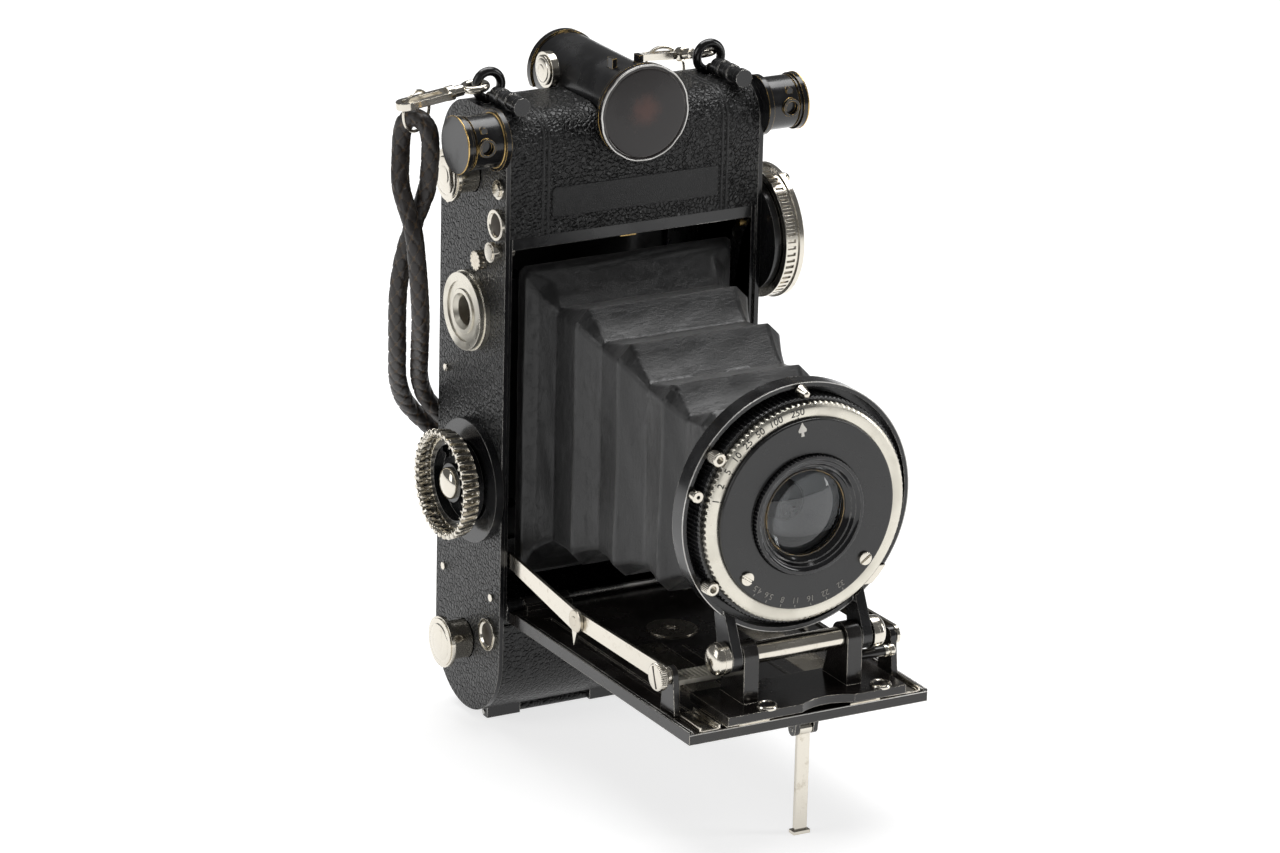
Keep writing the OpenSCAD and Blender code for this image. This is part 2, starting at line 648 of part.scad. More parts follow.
module front_glass() color("#5a6a72") fr() translate([0, -93, lens_z]) rotate([90, 0, 0]) rotate_extrude() {
  square([glass_r, 2.2]);
  intersection() {
    translate([0, -21.5]) circle(26.6);
    translate([0, 2.1]) square([glass_r, 4]);
  }
}
module rear_cell() color("#1d1d1f") fr() difference() {
  yc(-85.9, -82.5, [0, lens_z], 12.2);
  yc(-83.6, -82, [0, lens_z], 10);
}
module cocking_lever() color("#d2cdc0") fr() {
  // the pointed tab low on the right of the ring
  difference() {
    yc(-94.5, -93.0, [0, lens_z], 34.05);
    yc(-95, -92, [0, lens_z], 32.35);
    translate([-50, -96, 0]) cube([100, 8, lens_z - 24.8]);
    translate([-50, -96, lens_z - 20]) cube([100, 8, 80]);
    translate([-50, -96, 0]) cube([50, 8, 200]);
  }
}
module shutter_fittings() color("#d2cdc0") fr() difference() {
  union() {
  for (a = [145, 212]) translate([33.2 * cos(a), -93.9, lens_z + 33.2 * sin(a)]) {
    yc(-2.4, 1.6, [0, 0], 2.0);
  }
  translate([33.2 * cos(90), 0, lens_z + 33.2 * sin(90)]) ycone(-95.8, -92.4, [0, 0], 1.0, 1.9);
  translate([33.2 * cos(165), 0, lens_z + 33.2 * sin(165)]) yc(-94.6, -92.4, [0, 0], 1.7);
  }
  // the shutter's drum
  yc(-94.65, -87, [0, lens_z], 32.25);
}

// ---------- bellows ----------
// one frame of the bellows, hollow, between y0 and y1
module fold(y0, y1, hx, z0, z1) difference() {
  translate([-hx, y0, z0]) cube([2 * hx, y1 - y0, z1 - z0]);
  translate([-hx + 1.2, y0 - 1, z0 + 1.2]) cube([2 * hx - 2.4, y1 - y0 + 2, z1 - z0 - 2.4]);
}
module bellows() color("#2a2a2c") fr() {
  fold(2, 30.6, 30.5, 44, 137.5);
  fold(-12, 3, 29.5, 47, 134);
  fold(-27, -11, 28.3, 50, 130);
  fold(-42, -26, 27, 54, 127);
  fold(-57, -41, 25.8, 58, 124);
  fold(-72, -56, 24.4, 62, 121);
  fold(-86.3, -71, 22.8, 66, 118.5);
}
module catch() color("#cbb98a") fr() {
  translate([-2, 4.4, 141.9]) cube([5, 3, 1.5]);
  xc(36.2, 38.2, [4.6, 141.2], 1.3);
}

body_shell();
side_left();
side_right();
top_cover();
lower_cover();
door();
pressure_plate();
door_pin();
door_latch();
spool_feed();
spool_takeup();
knob_upper();
knob_lower();
socket();
eyelets();
side_screws();
release_button();
fluted_knob();
wind_wheel();
wind_dish();
wind_scale();
focus_wheel();
focus_drum();
rf_left();
rf_right();
rf_caps();
finder_tube();
finder_disc();
finder_knob();
lugs();
snap_hooks();
split_rings();
strap_clamp();
strap();
bed_pin();
bed();
bed_bush();
bed_lever();
leg();
bed_rails();
focus_rail();
carriage();
axle();
lens_board();
axle_nuts();
shutter_body();
speed_ring();
shutter_face();
lens_barrel();
front_glass();
rear_cell();
cocking_lever();
shutter_fittings();
bellows();
strut_front_left();
strut_rear_left();
strut_front_right();
strut_rear_right();
catch();
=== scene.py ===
"""The looks of a folding roll-film camera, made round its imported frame.

The frame gives every rigid part. This script gives each of them its finish, and makes the pieces
whose shape the frame holds only roughly: the pleated bellows, the braided strap, the embossed
housing leather, the dial of the shutter, the glass and the small turned fittings.
Lengths are millimetres in the camera body's own axes: x from the middle to the right seen from the
front, y back from the front rim, z up from the floor.
"""
from __future__ import annotations

import logging
import math
from dataclasses import dataclass, field
from enum import Enum
from typing import Callable, Iterable, Sequence

import bmesh
import bpy
import numpy as np
from mathutils import Matrix, Vector

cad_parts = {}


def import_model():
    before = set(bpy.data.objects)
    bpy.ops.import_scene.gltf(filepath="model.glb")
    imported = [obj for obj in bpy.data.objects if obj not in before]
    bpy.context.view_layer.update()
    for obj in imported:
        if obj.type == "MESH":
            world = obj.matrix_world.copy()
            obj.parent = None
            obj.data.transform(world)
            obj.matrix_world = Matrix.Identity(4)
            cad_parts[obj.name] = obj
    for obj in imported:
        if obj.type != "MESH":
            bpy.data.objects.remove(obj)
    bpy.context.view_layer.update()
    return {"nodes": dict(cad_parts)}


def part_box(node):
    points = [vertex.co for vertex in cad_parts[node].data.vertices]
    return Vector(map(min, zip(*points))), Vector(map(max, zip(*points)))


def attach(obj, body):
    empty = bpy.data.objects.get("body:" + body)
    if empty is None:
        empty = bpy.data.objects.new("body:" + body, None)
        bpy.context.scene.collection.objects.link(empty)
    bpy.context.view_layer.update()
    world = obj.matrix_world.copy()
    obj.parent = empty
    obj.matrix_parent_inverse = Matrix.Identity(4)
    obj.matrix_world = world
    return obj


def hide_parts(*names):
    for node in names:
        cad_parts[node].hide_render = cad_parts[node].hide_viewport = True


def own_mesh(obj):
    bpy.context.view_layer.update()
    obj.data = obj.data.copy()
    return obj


LOG = logging.getLogger("camera")
MM = 0.001
TAU = 2 * math.pi
Array = np.ndarray


# ---------------------------------------------------------------- places
@dataclass(frozen=True)
class BodyAxes:
    """Where the body's own axes lie in the frame, in metres."""

    x: float
    y: float

    @classmethod
    def from_frame(cls) -> "BodyAxes":
        """Read the middle and the front rim from the two side panels."""
        left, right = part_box("side_left"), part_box("side_right")
        return cls(x=(left[0].x + right[1].x) / 2, y=left[0].y)

    def place(self, points: Array) -> Array:
        """Turn body millimetres into frame metres.

        Args:
            points: an array whose last axis is x, y, z in millimetres.

        Returns:
            The same points in metres.
        """
        return np.asarray(points, float) * MM + np.array([self.x, self.y, 0.0])


class Axis(Enum):
    """The direction that a turned piece's own axis points in."""

    X = "x"
    Y = "y"
    Z = "z"


# ---------------------------------------------------------------- node graphs
class Graph:
    """A short way to add nodes to a tree and wire them."""

    def __init__(self, tree: bpy.types.NodeTree) -> None:
        """Keep the tree that nodes are added to."""
        self.tree = tree

    def add(self, kind: str, settings: dict | None = None, **sockets) -> bpy.types.Node:
        """Add one node.

        Args:
            kind: the node's type without its ShaderNode prefix.
            settings: the node's own properties.
            sockets: values or output sockets for its inputs; an underscore stands for a space,
                and i0, i1 ... name an input by its place.

        Returns:
            The new node.
        """
        node = self.tree.nodes.new("ShaderNode" + kind)
        for name, value in (settings or {}).items():
            setattr(node, name, value)
        for name, value in sockets.items():
            by_place = name[0] == "i" and name[1:].isdigit()
            socket = node.inputs[int(name[1:])] if by_place else node.inputs[name.replace("_", " ")]
            if isinstance(value, bpy.types.NodeSocket):
                self.tree.links.new(value, socket)
            else:
                socket.default_value = value
        return node

    def math(self, operation: str, a, b=0.0, clamp: bool = False) -> bpy.types.NodeSocket:
        """One Math node's output."""
        return self.add("Math", {"operation": operation, "use_clamp": clamp}, i0=a, i1=b).outputs[0]

    def ramp(self, value, low: float, high: float, to_low: float = 0.0, to_high: float = 1.0):
        """A smooth step of value from low to high, carried to to_low ... to_high."""
        node = self.add("MapRange", {"interpolation_type": "SMOOTHSTEP"}, Value=value, From_Min=low,
                        From_Max=high, To_Min=to_low, To_Max=to_high)
        return node.outputs["Result"]

    def mix(self, factor, a, b) -> bpy.types.NodeSocket:
        """Two colours mixed by factor."""
        node = self.add("Mix", {"data_type": "RGBA"})
        for place, value in ((0, factor), (6, a), (7, b)):
            if isinstance(value, bpy.types.NodeSocket):
                self.tree.links.new(value, node.inputs[place])
            else:
                node.inputs[place].default_value = value if place == 0 else (*value, 1.0)
        return node.outputs[2]

    def noise(self, vector, scale: float, detail: float = 3.0, rough: float = 0.55):
        """A noise texture's value at vector."""
        return self.add("TexNoise", Vector=vector, Scale=scale, Detail=detail, Roughness=rough).outputs[0]


Build = Callable[[Graph, dict], dict]


def shader_group(name: str, inputs: dict[str, tuple[str, float]], outputs: dict[str, str], build: Build):
    """Make a named node group once.

    Args:
        name: the group's name.
        inputs: socket name to its kind and default value.
        outputs: socket name to its kind.
        build: makes the nodes and returns the socket for each output.

    Returns:
        The node group.
    """
    group = bpy.data.node_groups.new(name, "ShaderNodeTree")
    for label, (kind, value) in inputs.items():
        socket = group.interface.new_socket(name=label, in_out="INPUT", socket_type="NodeSocket" + kind)
        if kind == "Float":
            socket.default_value = value
    for label, kind in outputs.items():
        group.interface.new_socket(name=label, in_out="OUTPUT", socket_type="NodeSocket" + kind)
    graph = Graph(group)
    entry = group.nodes.new("NodeGroupInput")
    leave = group.nodes.new("NodeGroupOutput")
    made = build(graph, {label: entry.outputs[label] for label in inputs})
    for label, socket in made.items():
        group.links.new(socket, leave.inputs[label])
    return group


def build_edges(g: Graph, given: dict) -> dict:
    """Worn edges: the angle between the true and a rounded normal, broken up by noise."""
    soft = g.add("Bevel", {"samples": 4}, Radius=given["Radius"]).outputs[0]
    flat = g.add("NewGeometry").outputs["Normal"]
    same = g.add("VectorMath", {"operation": "DOT_PRODUCT"}, i0=soft, i1=flat).outputs["Value"]
    sharp = g.math("SUBTRACT", 1.0, same)
    patch = g.noise(given["Vector"], 350.0, 4.0, 0.7)
    broken = g.math("MULTIPLY", sharp, g.ramp(patch, 0.35, 0.65, 0.25, 1.9))
    worn = g.math("MULTIPLY", g.ramp(broken, 0.05, 0.22), given["Amount"])
    return {"Mask": worn, "Normal": soft}


def build_grain(g: Graph, given: dict) -> dict:
    """Pebbled leather: rounded cells with creased borders, stretched a little by noise; the crease mask is
    used for painted shade.
    """
    wobble = g.add("TexNoise", Vector=given["Vector"], Scale=420.0, Detail=2.0).outputs[1]
    bent = g.add("VectorMath", {"operation": "MULTIPLY_ADD"}, i0=wobble, i1=(0.0011,) * 3, i2=given["Vector"])
    cells = g.add("TexVoronoi", {"feature": "DISTANCE_TO_EDGE"}, Vector=bent.outputs[0], Scale=given["Scale"])
    pebble = g.ramp(cells.outputs["Distance"], 0.0, 0.22)
    fine = g.noise(given["Vector"], 2600.0, 2.0)
    height = g.math("ADD", pebble, g.math("MULTIPLY", fine, 0.35))
    # the crease mask darkens the grain's creases as painted shade
    return {"Height": height, "CreaseShade": g.math("SUBTRACT", 1.0, pebble)}


def build_handling(g: Graph, given: dict) -> dict:
    """Marks of use: broad smudges and fine scratches that run one way."""
    smudge = g.ramp(g.noise(given["Vector"], 60.0, 4.0, 0.6), 0.35, 0.7)
    stretched = g.add("Mapping", Vector=given["Vector"], Scale=(1.0, 14.0, 1.6), Rotation=(0.3, 0.2, 0.5))
    lines = g.noise(stretched.outputs[0], 420.0, 5.0, 0.75)
    return {"Smudge": smudge, "Scratch": g.ramp(lines, 0.60, 0.72)}


def build_dust(g: Graph, given: dict) -> dict:
    """Dust that lies thicker on faces that look up, in soft patches."""
    normal = g.add("NewGeometry").outputs["Normal"]
    up = g.add("SeparateXYZ", Vector=normal).outputs["Z"]
    lying = g.ramp(up, -0.2, 0.9, 0.25, 1.0)
    patch = g.ramp(g.noise(given["Vector"], 95.0, 6.0, 0.65), 0.42, 0.72)
    return {"Mask": g.math("MULTIPLY", g.math("MULTIPLY", lying, patch), given["Amount"])}


class Effects:
    """The shader groups that the finishes share, each built once."""

    def __init__(self) -> None:
        """Build the groups."""
        vector = {"Vector": ("Vector", 0.0)}
        self.edges = shader_group("worn_edges",
                                  {**vector, "Radius": ("Float", 0.0003), "Amount": ("Float", 0.5)},
                                  {"Mask": "Float", "Normal": "Vector"}, build_edges)
        self.grain = shader_group("leather_grain", {**vector, "Scale": ("Float", 900.0)},
                                  {"Height": "Float", "CreaseShade": "Float"}, build_grain)
        self.handling = shader_group("handling", vector, {"Smudge": "Float", "Scratch": "Float"},
                                     build_handling)
        self.dust = shader_group("dust", {**vector, "Amount": ("Float", 0.4)}, {"Mask": "Float"}, build_dust)


# ---------------------------------------------------------------- finishes
@dataclass(frozen=True)
class Finish:
    """What every finish shares: its name, base colour and roughness."""

    name: str
    colour: tuple[float, float, float]
    roughness: float = 0.4

    def start(self, effects: Effects):
        """Make an empty material.

        Args:
            effects: the shared shader groups.

        Returns:
            The material, its graph, its shader, and the object coordinates.
        """
        material = bpy.data.materials.new(self.name)
        material.use_nodes = True
        tree = material.node_tree
        tree.nodes.clear()
        graph = Graph(tree)
        shader = graph.add("BsdfPrincipled")
        out = graph.add("OutputMaterial")
        tree.links.new(shader.outputs[0], out.inputs["Surface"])
        material.diffuse_color = (*self.colour, 1.0)
        return material, graph, shader, graph.add("TexCoord").outputs["Object"]

    def use(self, graph: Graph, group, **sockets) -> dict:
        """Place a shared group and return its outputs by name."""
        node = graph.add("Group", {"node_tree": group}, **sockets)
        return {socket.name: socket for socket in node.outputs}

    def wire(self, graph: Graph, shader, **sockets) -> None:
        """Link or set the shader's inputs."""
        for name, value in sockets.items():
            socket = shader.inputs[name.replace("_", " ")]
            if isinstance(value, bpy.types.NodeSocket):
                graph.tree.links.new(value, socket)
            elif isinstance(value, tuple) and len(value) == 3:
                socket.default_value = (*value, 1.0)
            else:
                socket.default_value = value

    def build(self, effects: Effects) -> bpy.types.Material:
        """A plain version: the base colour with smudges in its roughness."""
        material, g, shader, where = self.start(effects)
        marks = self.use(g, effects.handling, Vector=where)
        rough = g.ramp(marks["Smudge"], 0.0, 1.0, self.roughness * 0.8, self.roughness * 1.25)
        tone = g.mix(marks["Smudge"], self.colour, tuple(c * 1.3 + 0.004 for c in self.colour))
        self.wire(g, shader, Base_Color=tone, Roughness=rough)
        return material


@dataclass(frozen=True)
class Enamel(Finish):
    """Black stove enamel, worn through to the metal along its edges."""

    metal: tuple[float, float, float] = (0.72, 0.70, 0.66)
    wear: float = 0.6
    edge: float = 0.3

    def build(self, effects: Effects) -> bpy.types.Material:
        """Enamel over metal: the edge mask lays the metal bare."""
        material, g, shader, where = self.start(effects)
        edges = self.use(g, effects.edges, Vector=where, Radius=self.edge * MM, Amount=self.wear)
        marks = self.use(g, effects.handling, Vector=where)
        grimy = g.mix(marks["Smudge"], self.colour, tuple(c * 1.6 + 0.006 for c in self.colour))
        scratched = g.mix(g.math("MULTIPLY", marks["Scratch"], 0.12), grimy, (0.10, 0.095, 0.09))
        tone = g.mix(edges["Mask"], scratched, self.metal)
        rough = g.ramp(marks["Smudge"], 0.0, 1.0, self.roughness * 0.75, self.roughness * 1.4)
        ripple = g.noise(where, 700.0, 2.0)
        bump = g.add("Bump", Height=ripple, Strength=0.12, Distance=0.05 * MM, Normal=edges["Normal"])
        self.wire(g, shader, Base_Color=tone, Roughness=rough, Metallic=edges["Mask"], Normal=bump.outputs[0],
                  Coat_Weight=0.2, Coat_Roughness=0.1)
        return material


@dataclass(frozen=True)
class Plate(Finish):
    """Plated or bare metal with scratches, smudges and tarnish in its hollows."""

    tarnish: tuple[float, float, float] = (0.33, 0.26, 0.16)
    spots: float = 0.5

    def build(self, effects: Effects) -> bpy.types.Material:
        """Metal whose roughness varies and whose old spots are darker and warmer."""
        material, g, shader, where = self.start(effects)
        edges = self.use(g, effects.edges, Vector=where, Radius=0.25 * MM, Amount=1.0)
        marks = self.use(g, effects.handling, Vector=where)
        blotch = g.ramp(g.noise(where, 230.0, 6.0, 0.7), 0.55, 0.75, 0.0, self.spots)
        tone = g.mix(blotch, self.colour, self.tarnish)
        tone = g.mix(g.math("MULTIPLY", edges["Mask"], 0.5), tone,
                     tuple(min(1.0, c * 1.12) for c in self.colour))
        rough = g.math("ADD", g.ramp(marks["Smudge"], 0.0, 1.0, self.roughness * 0.7, self.roughness * 1.5),
                       g.math("MULTIPLY", marks["Scratch"], 0.18))
        fine = g.noise(where, 1500.0, 3.0)
        bump = g.add("Bump", Height=fine, Strength=0.10, Distance=0.03 * MM, Normal=edges["Normal"])
        self.wire(g, shader, Base_Color=tone, Roughness=rough, Metallic=1.0, Normal=bump.outputs[0])
        return material


@dataclass(frozen=True)
class Browned(Enamel):
    """Old enamel gone brown, with a painted reddish reflection to one side."""

    # spot: the middle of the painted reddish reflection
    spot: tuple[float, float, float] = (0.0, 0.0, 0.0)

    def build(self, effects: Effects) -> bpy.types.Material:
        """The enamel's base colour turns reddish near the spot: a painted reflection."""
        material, g, shader, where = self.start(effects)
        edges = self.use(g, effects.edges, Vector=where, Radius=0.5 * MM, Amount=self.wear)
        marks = self.use(g, effects.handling, Vector=where)
        gap = g.add("VectorMath", {"operation": "DISTANCE"}, i0=where, i1=self.spot).outputs["Value"]
        uneven = g.math("ADD", gap, g.math("MULTIPLY", g.noise(where, 420.0, 6.0, 0.7), 0.005))
        # painted reflection: a reddish patch in the base colour round the spot
        painted_reflection = g.ramp(uneven, 0.0035, 0.0085, 1.0, 0.0)
        tone = g.mix(g.math("MULTIPLY", painted_reflection, 0.8), self.colour, (0.085, 0.030, 0.020))
        tone = g.mix(g.math("MULTIPLY", marks["Scratch"], 0.18), tone, (0.10, 0.07, 0.06))
        tone = g.mix(edges["Mask"], tone, self.metal)
        rough = g.ramp(marks["Smudge"], 0.0, 1.0, self.roughness * 0.7, self.roughness * 1.6)
        self.wire(g, shader, Base_Color=tone, Roughness=rough, Metallic=edges["Mask"])
        return material


@dataclass(frozen=True)
class Leather(Finish):
    """Fine pebbled leather, scuffed grey on its high spots."""

    scale: float = 900.0
    depth: float = 0.16
    scuff: float = 0.35

    def build(self, effects: Effects) -> bpy.types.Material:
        """Leather: grain as bump, painted shade in the creases, paler worn pebbles."""
        material, g, shader, where = self.start(effects)
        grain = self.use(g, effects.grain, Vector=where, Scale=self.scale)
        dust = self.use(g, effects.dust, Vector=where, Amount=self.scuff)
        edges = self.use(g, effects.edges, Vector=where, Radius=0.35 * MM, Amount=0.5)
        high = g.math("MULTIPLY", dust["Mask"], grain["Height"])
        # painted shade: the grain's creases are darkened in the base colour
        tone = g.mix(grain["CreaseShade"], self.colour, tuple(c * 0.45 for c in self.colour))
        tone = g.mix(high, tone, tuple(c * 3.0 + 0.02 for c in self.colour))
        tone = g.mix(g.math("MULTIPLY", edges["Mask"], 0.35), tone, (0.085, 0.08, 0.075))
        rough = g.ramp(dust["Mask"], 0.0, 0.6, self.roughness, self.roughness + 0.2)
        bump = g.add("Bump", Height=grain["Height"], Strength=0.85, Distance=self.depth * MM,
                     Normal=edges["Normal"])
        self.wire(g, shader, Base_Color=tone, Roughness=rough, Normal=bump.outputs[0],
                  Specular_IOR_Level=0.42)
        return material


@dataclass(frozen=True)
class OldCloth(Finish):
    """The bellows' thin leather: creased, dusty, rubbed pale along its folds."""

    def build(self, effects: Effects) -> bpy.types.Material:
        """Charcoal leather with crease lines darkened as painted shade, streaks and dust."""
        material, g, shader, where = self.start(effects)
        edges = self.use(g, effects.edges, Vector=where, Radius=0.9 * MM, Amount=1.0)
        dust = self.use(g, effects.dust, Vector=where, Amount=0.8)
        stretched = g.add("Mapping", Vector=where, Scale=(1.2, 3.2, 0.7),
                          Rotation=(0.35, 0.15, 0.1)).outputs[0]
        streak = g.ramp(g.noise(stretched, 160.0, 8.0, 0.7), 0.45, 0.75)
        crease = g.noise(stretched, 330.0, 9.0, 0.78)
        slanted = g.add("Mapping", Vector=where, Scale=(0.6, 2.2, 1.0), Rotation=(0.9, 0.4, 0.3)).outputs[0]
        thin = g.ramp(g.math("ABSOLUTE", g.math("SUBTRACT", g.noise(slanted, 110.0, 7.0, 0.7), 0.5)), 0.0,
                      0.03, 1.0, 0.0)
        tone = g.mix(streak, self.colour, tuple(c * 1.9 + 0.004 for c in self.colour))
        tone = g.mix(g.math("MULTIPLY", dust["Mask"], 0.4), tone, (0.030, 0.029, 0.028))
        tone = g.mix(g.math("MULTIPLY", edges["Mask"], 0.45), tone, (0.11, 0.10, 0.095))
        # painted shade: the thin crease lines darken the colour
        tone = g.mix(g.math("MULTIPLY", thin, 0.3), tone, (0.004, 0.004, 0.004))
        rough = g.ramp(streak, 0.0, 1.0, self.roughness - 0.1, self.roughness + 0.18)
        height = g.math("ADD", g.math("MULTIPLY", crease, 0.8), g.math("MULTIPLY", thin, -0.2))
        bump = g.add("Bump", Height=height, Strength=0.32, Distance=0.35 * MM)
        self.wire(g, shader, Base_Color=tone, Roughness=rough, Normal=bump.outputs[0], Sheen_Weight=0.12,
                  Sheen_Roughness=0.5)
        return material


@dataclass(frozen=True)
class Braid(Finish):
    """Four-strand braided leather: the relief is in the mesh, the wear and the painted shade in its height
    attribute.
    """

    def build(self, effects: Effects) -> bpy.types.Material:
        """Dark brown-black strips, rubbed brown on top, with painted shade in the grooves between them."""
        material, g, shader, where = self.start(effects)
        relief = g.add("Attribute", {"attribute_name": "relief"}).outputs["Fac"]
        worn = g.ramp(g.noise(where, 180.0, 6.0, 0.7), 0.4, 0.7)
        tone = g.mix(worn, self.colour, tuple(c * 1.8 + 0.006 for c in self.colour))
        tone = g.mix(g.ramp(relief, 0.2, 0.75, 0.8, 0.0), tone, (0.085, 0.052, 0.024))
        # painted shade: the low grooves between the strands go near black
        tone = g.mix(g.ramp(relief, 0.0, 0.3, 1.0, 0.0), tone, (0.006, 0.005, 0.004))
        fine = g.noise(where, 1700.0, 4.0, 0.6)
        bump = g.add("Bump", Height=fine, Strength=0.4, Distance=0.1 * MM)
        rough = g.ramp(worn, 0.0, 1.0, self.roughness, self.roughness + 0.2)
        self.wire(g, shader, Base_Color=tone, Roughness=rough, Normal=bump.outputs[0])
        return material


@dataclass(frozen=True)
class Glass(Finish):
    """Clear optical glass with a faint cold tint."""

    def build(self, effects: Effects) -> bpy.types.Material:
        """Smooth glass with a trace of dust in its roughness."""
        material, g, shader, where = self.start(effects)
        haze = g.ramp(g.noise(where, 90.0, 3.0), 0.5, 0.8, 0.0, 0.012)
        self.wire(g, shader, Base_Color=self.colour, Roughness=haze, Transmission_Weight=1.0, IOR=1.55)
        return material


@dataclass(frozen=True)
class Backdrop(Finish):
    """The pale studio floor."""

    def build(self, effects: Effects) -> bpy.types.Material:
        """Matt white paper with the slightest mottling."""
        material, g, shader, where = self.start(effects)
        mottle = g.noise(where, 9.0, 4.0)
        tone = g.mix(mottle, self.colour, tuple(c * 0.985 for c in self.colour))
        self.wire(g, shader, Base_Color=tone, Roughness=0.9, Emission_Color=(1.0, 1.0, 1.0),
                  Emission_Strength=0.72)
        return material


@dataclass(frozen=True)
class SidePanel(Leather):
    """A side panel: pebbled leather on its outer face, glossy worn enamel on its rim."""

    def build(self, effects: Effects) -> bpy.types.Material:
        """Leather where the face looks sideways, enamel everywhere else."""
        material, g, shader, where = self.start(effects)
        grain = self.use(g, effects.grain, Vector=where, Scale=self.scale)
        dust = self.use(g, effects.dust, Vector=where, Amount=self.scuff)
        edges = self.use(g, effects.edges, Vector=where, Radius=0.35 * MM, Amount=0.9)
        flat = g.add("NewGeometry").outputs["Normal"]
        sideways = g.math("ABSOLUTE", g.add("SeparateXYZ", Vector=flat).outputs["X"])
        hide = g.math("MULTIPLY", g.ramp(sideways, 0.8, 0.95), g.math("SUBTRACT", 1.0, edges["Mask"]))
        # painted shade: the grain's creases are darkened in the leather's base colour
        skin = g.mix(grain["CreaseShade"], self.colour, tuple(c * 0.4 for c in self.colour))
        skin = g.mix(g.math("MULTIPLY", dust["Mask"], grain["Height"]), skin,
                     tuple(c * 3.0 + 0.02 for c in self.colour))
        rim = g.mix(g.math("MULTIPLY", edges["Mask"], 0.75), (0.006, 0.006, 0.007), (0.50, 0.48, 0.45))
        rough = g.ramp(hide, 0.0, 1.0, 0.2, self.roughness)
        height = g.math("MULTIPLY", grain["Height"], hide)
        bump = g.add("Bump", Height=height, Strength=1.0, Distance=self.depth * MM, Normal=edges["Normal"])
        self.wire(g, shader, Base_Color=g.mix(hide, rim, skin), Roughness=rough, Normal=bump.outputs[0],
                  Metallic=g.math("MULTIPLY", edges["Mask"], 0.7))
        return material


BLACK = (0.0045, 0.0045, 0.0050)
FINISHES: dict[str, Finish] = {
    "side_leather": SidePanel("side_leather", (0.0050, 0.0050, 0.0053), 0.34, scale=680.0, depth=0.45,
                              scuff=0.2),
    "housing_leather": Leather("housing_leather", (0.0048, 0.0048, 0.005), 0.30, scale=760.0, depth=0.36,
                               scuff=0.15),
    "smooth_leather": Leather("smooth_leather", (0.007, 0.007, 0.0075), 0.36, scale=1700.0, depth=0.05,
                              scuff=0.3),
    "enamel": Enamel("enamel", BLACK, 0.22, wear=0.35),
    "rubbed_enamel": Enamel("rubbed_enamel", BLACK, 0.26, wear=0.95, edge=0.35),
    "brassy_enamel": Enamel("brassy_enamel", BLACK, 0.24, metal=(0.60, 0.40, 0.13), wear=0.9, edge=0.3),
    "satin_enamel": Enamel("satin_enamel", (0.012, 0.012, 0.012), 0.42, wear=0.2),
    "nickel": Plate("nickel", (0.70, 0.66, 0.58), 0.15),
    "pale_nickel": Plate("pale_nickel", (0.66, 0.63, 0.55), 0.33, spots=0.2),
    "aged_nickel": Plate("aged_nickel", (0.62, 0.57, 0.48), 0.22, spots=0.7),
    "brass": Plate("brass", (0.72, 0.50, 0.20), 0.28, tarnish=(0.16, 0.09, 0.04)),
    "steel": Plate("steel", (0.56, 0.55, 0.53), 0.30, spots=0.3),
    "bellows": OldCloth("bellows_leather", (0.0040, 0.0040, 0.0043), 0.40),
    "strap": Braid("strap_leather", (0.013, 0.010, 0.009), 0.42),
    "glass": Glass("lens_glass", (0.93, 0.96, 0.98)),
    "dial_ink": Finish("dial_ink", (0.004, 0.004, 0.004), 0.6),
    "dial_white": Finish("dial_white", (0.62, 0.60, 0.55), 0.5),
    "spool": Finish("spool_black", (0.014, 0.014, 0.016), 0.38),
    "face_satin": Enamel("face_satin", (0.005, 0.005, 0.0052), 0.26, wear=0.1),
    "gloss_black": Enamel("gloss_black", (0.005, 0.005, 0.006), 0.14, wear=0.35),
    "iris_black": Finish("iris_black", (0.006, 0.006, 0.008), 0.6),
    # painted shade: a dark brown for the insides of holes and slots
    "hole_shade": Finish("hole_shade", (0.022, 0.014, 0.006), 0.5),
    "dial_grey": Finish("dial_grey", (0.22, 0.21, 0.19), 0.5),
    # its spot places a painted reddish reflection on the finder disc
    "browned": Browned("browned", (0.010, 0.0065, 0.006), 0.22, metal=(0.66, 0.60, 0.52), wear=0.3,
                       spot=(0.0045, 0.024, 0.181)),
    "bed_enamel": Enamel("bed_enamel", (0.0075, 0.0062, 0.0055), 0.22, metal=(0.70, 0.66, 0.58), wear=0.9,
                         edge=0.35),
    "backdrop": Backdrop("backdrop", (0.50, 0.50, 0.50), 0.9),
}


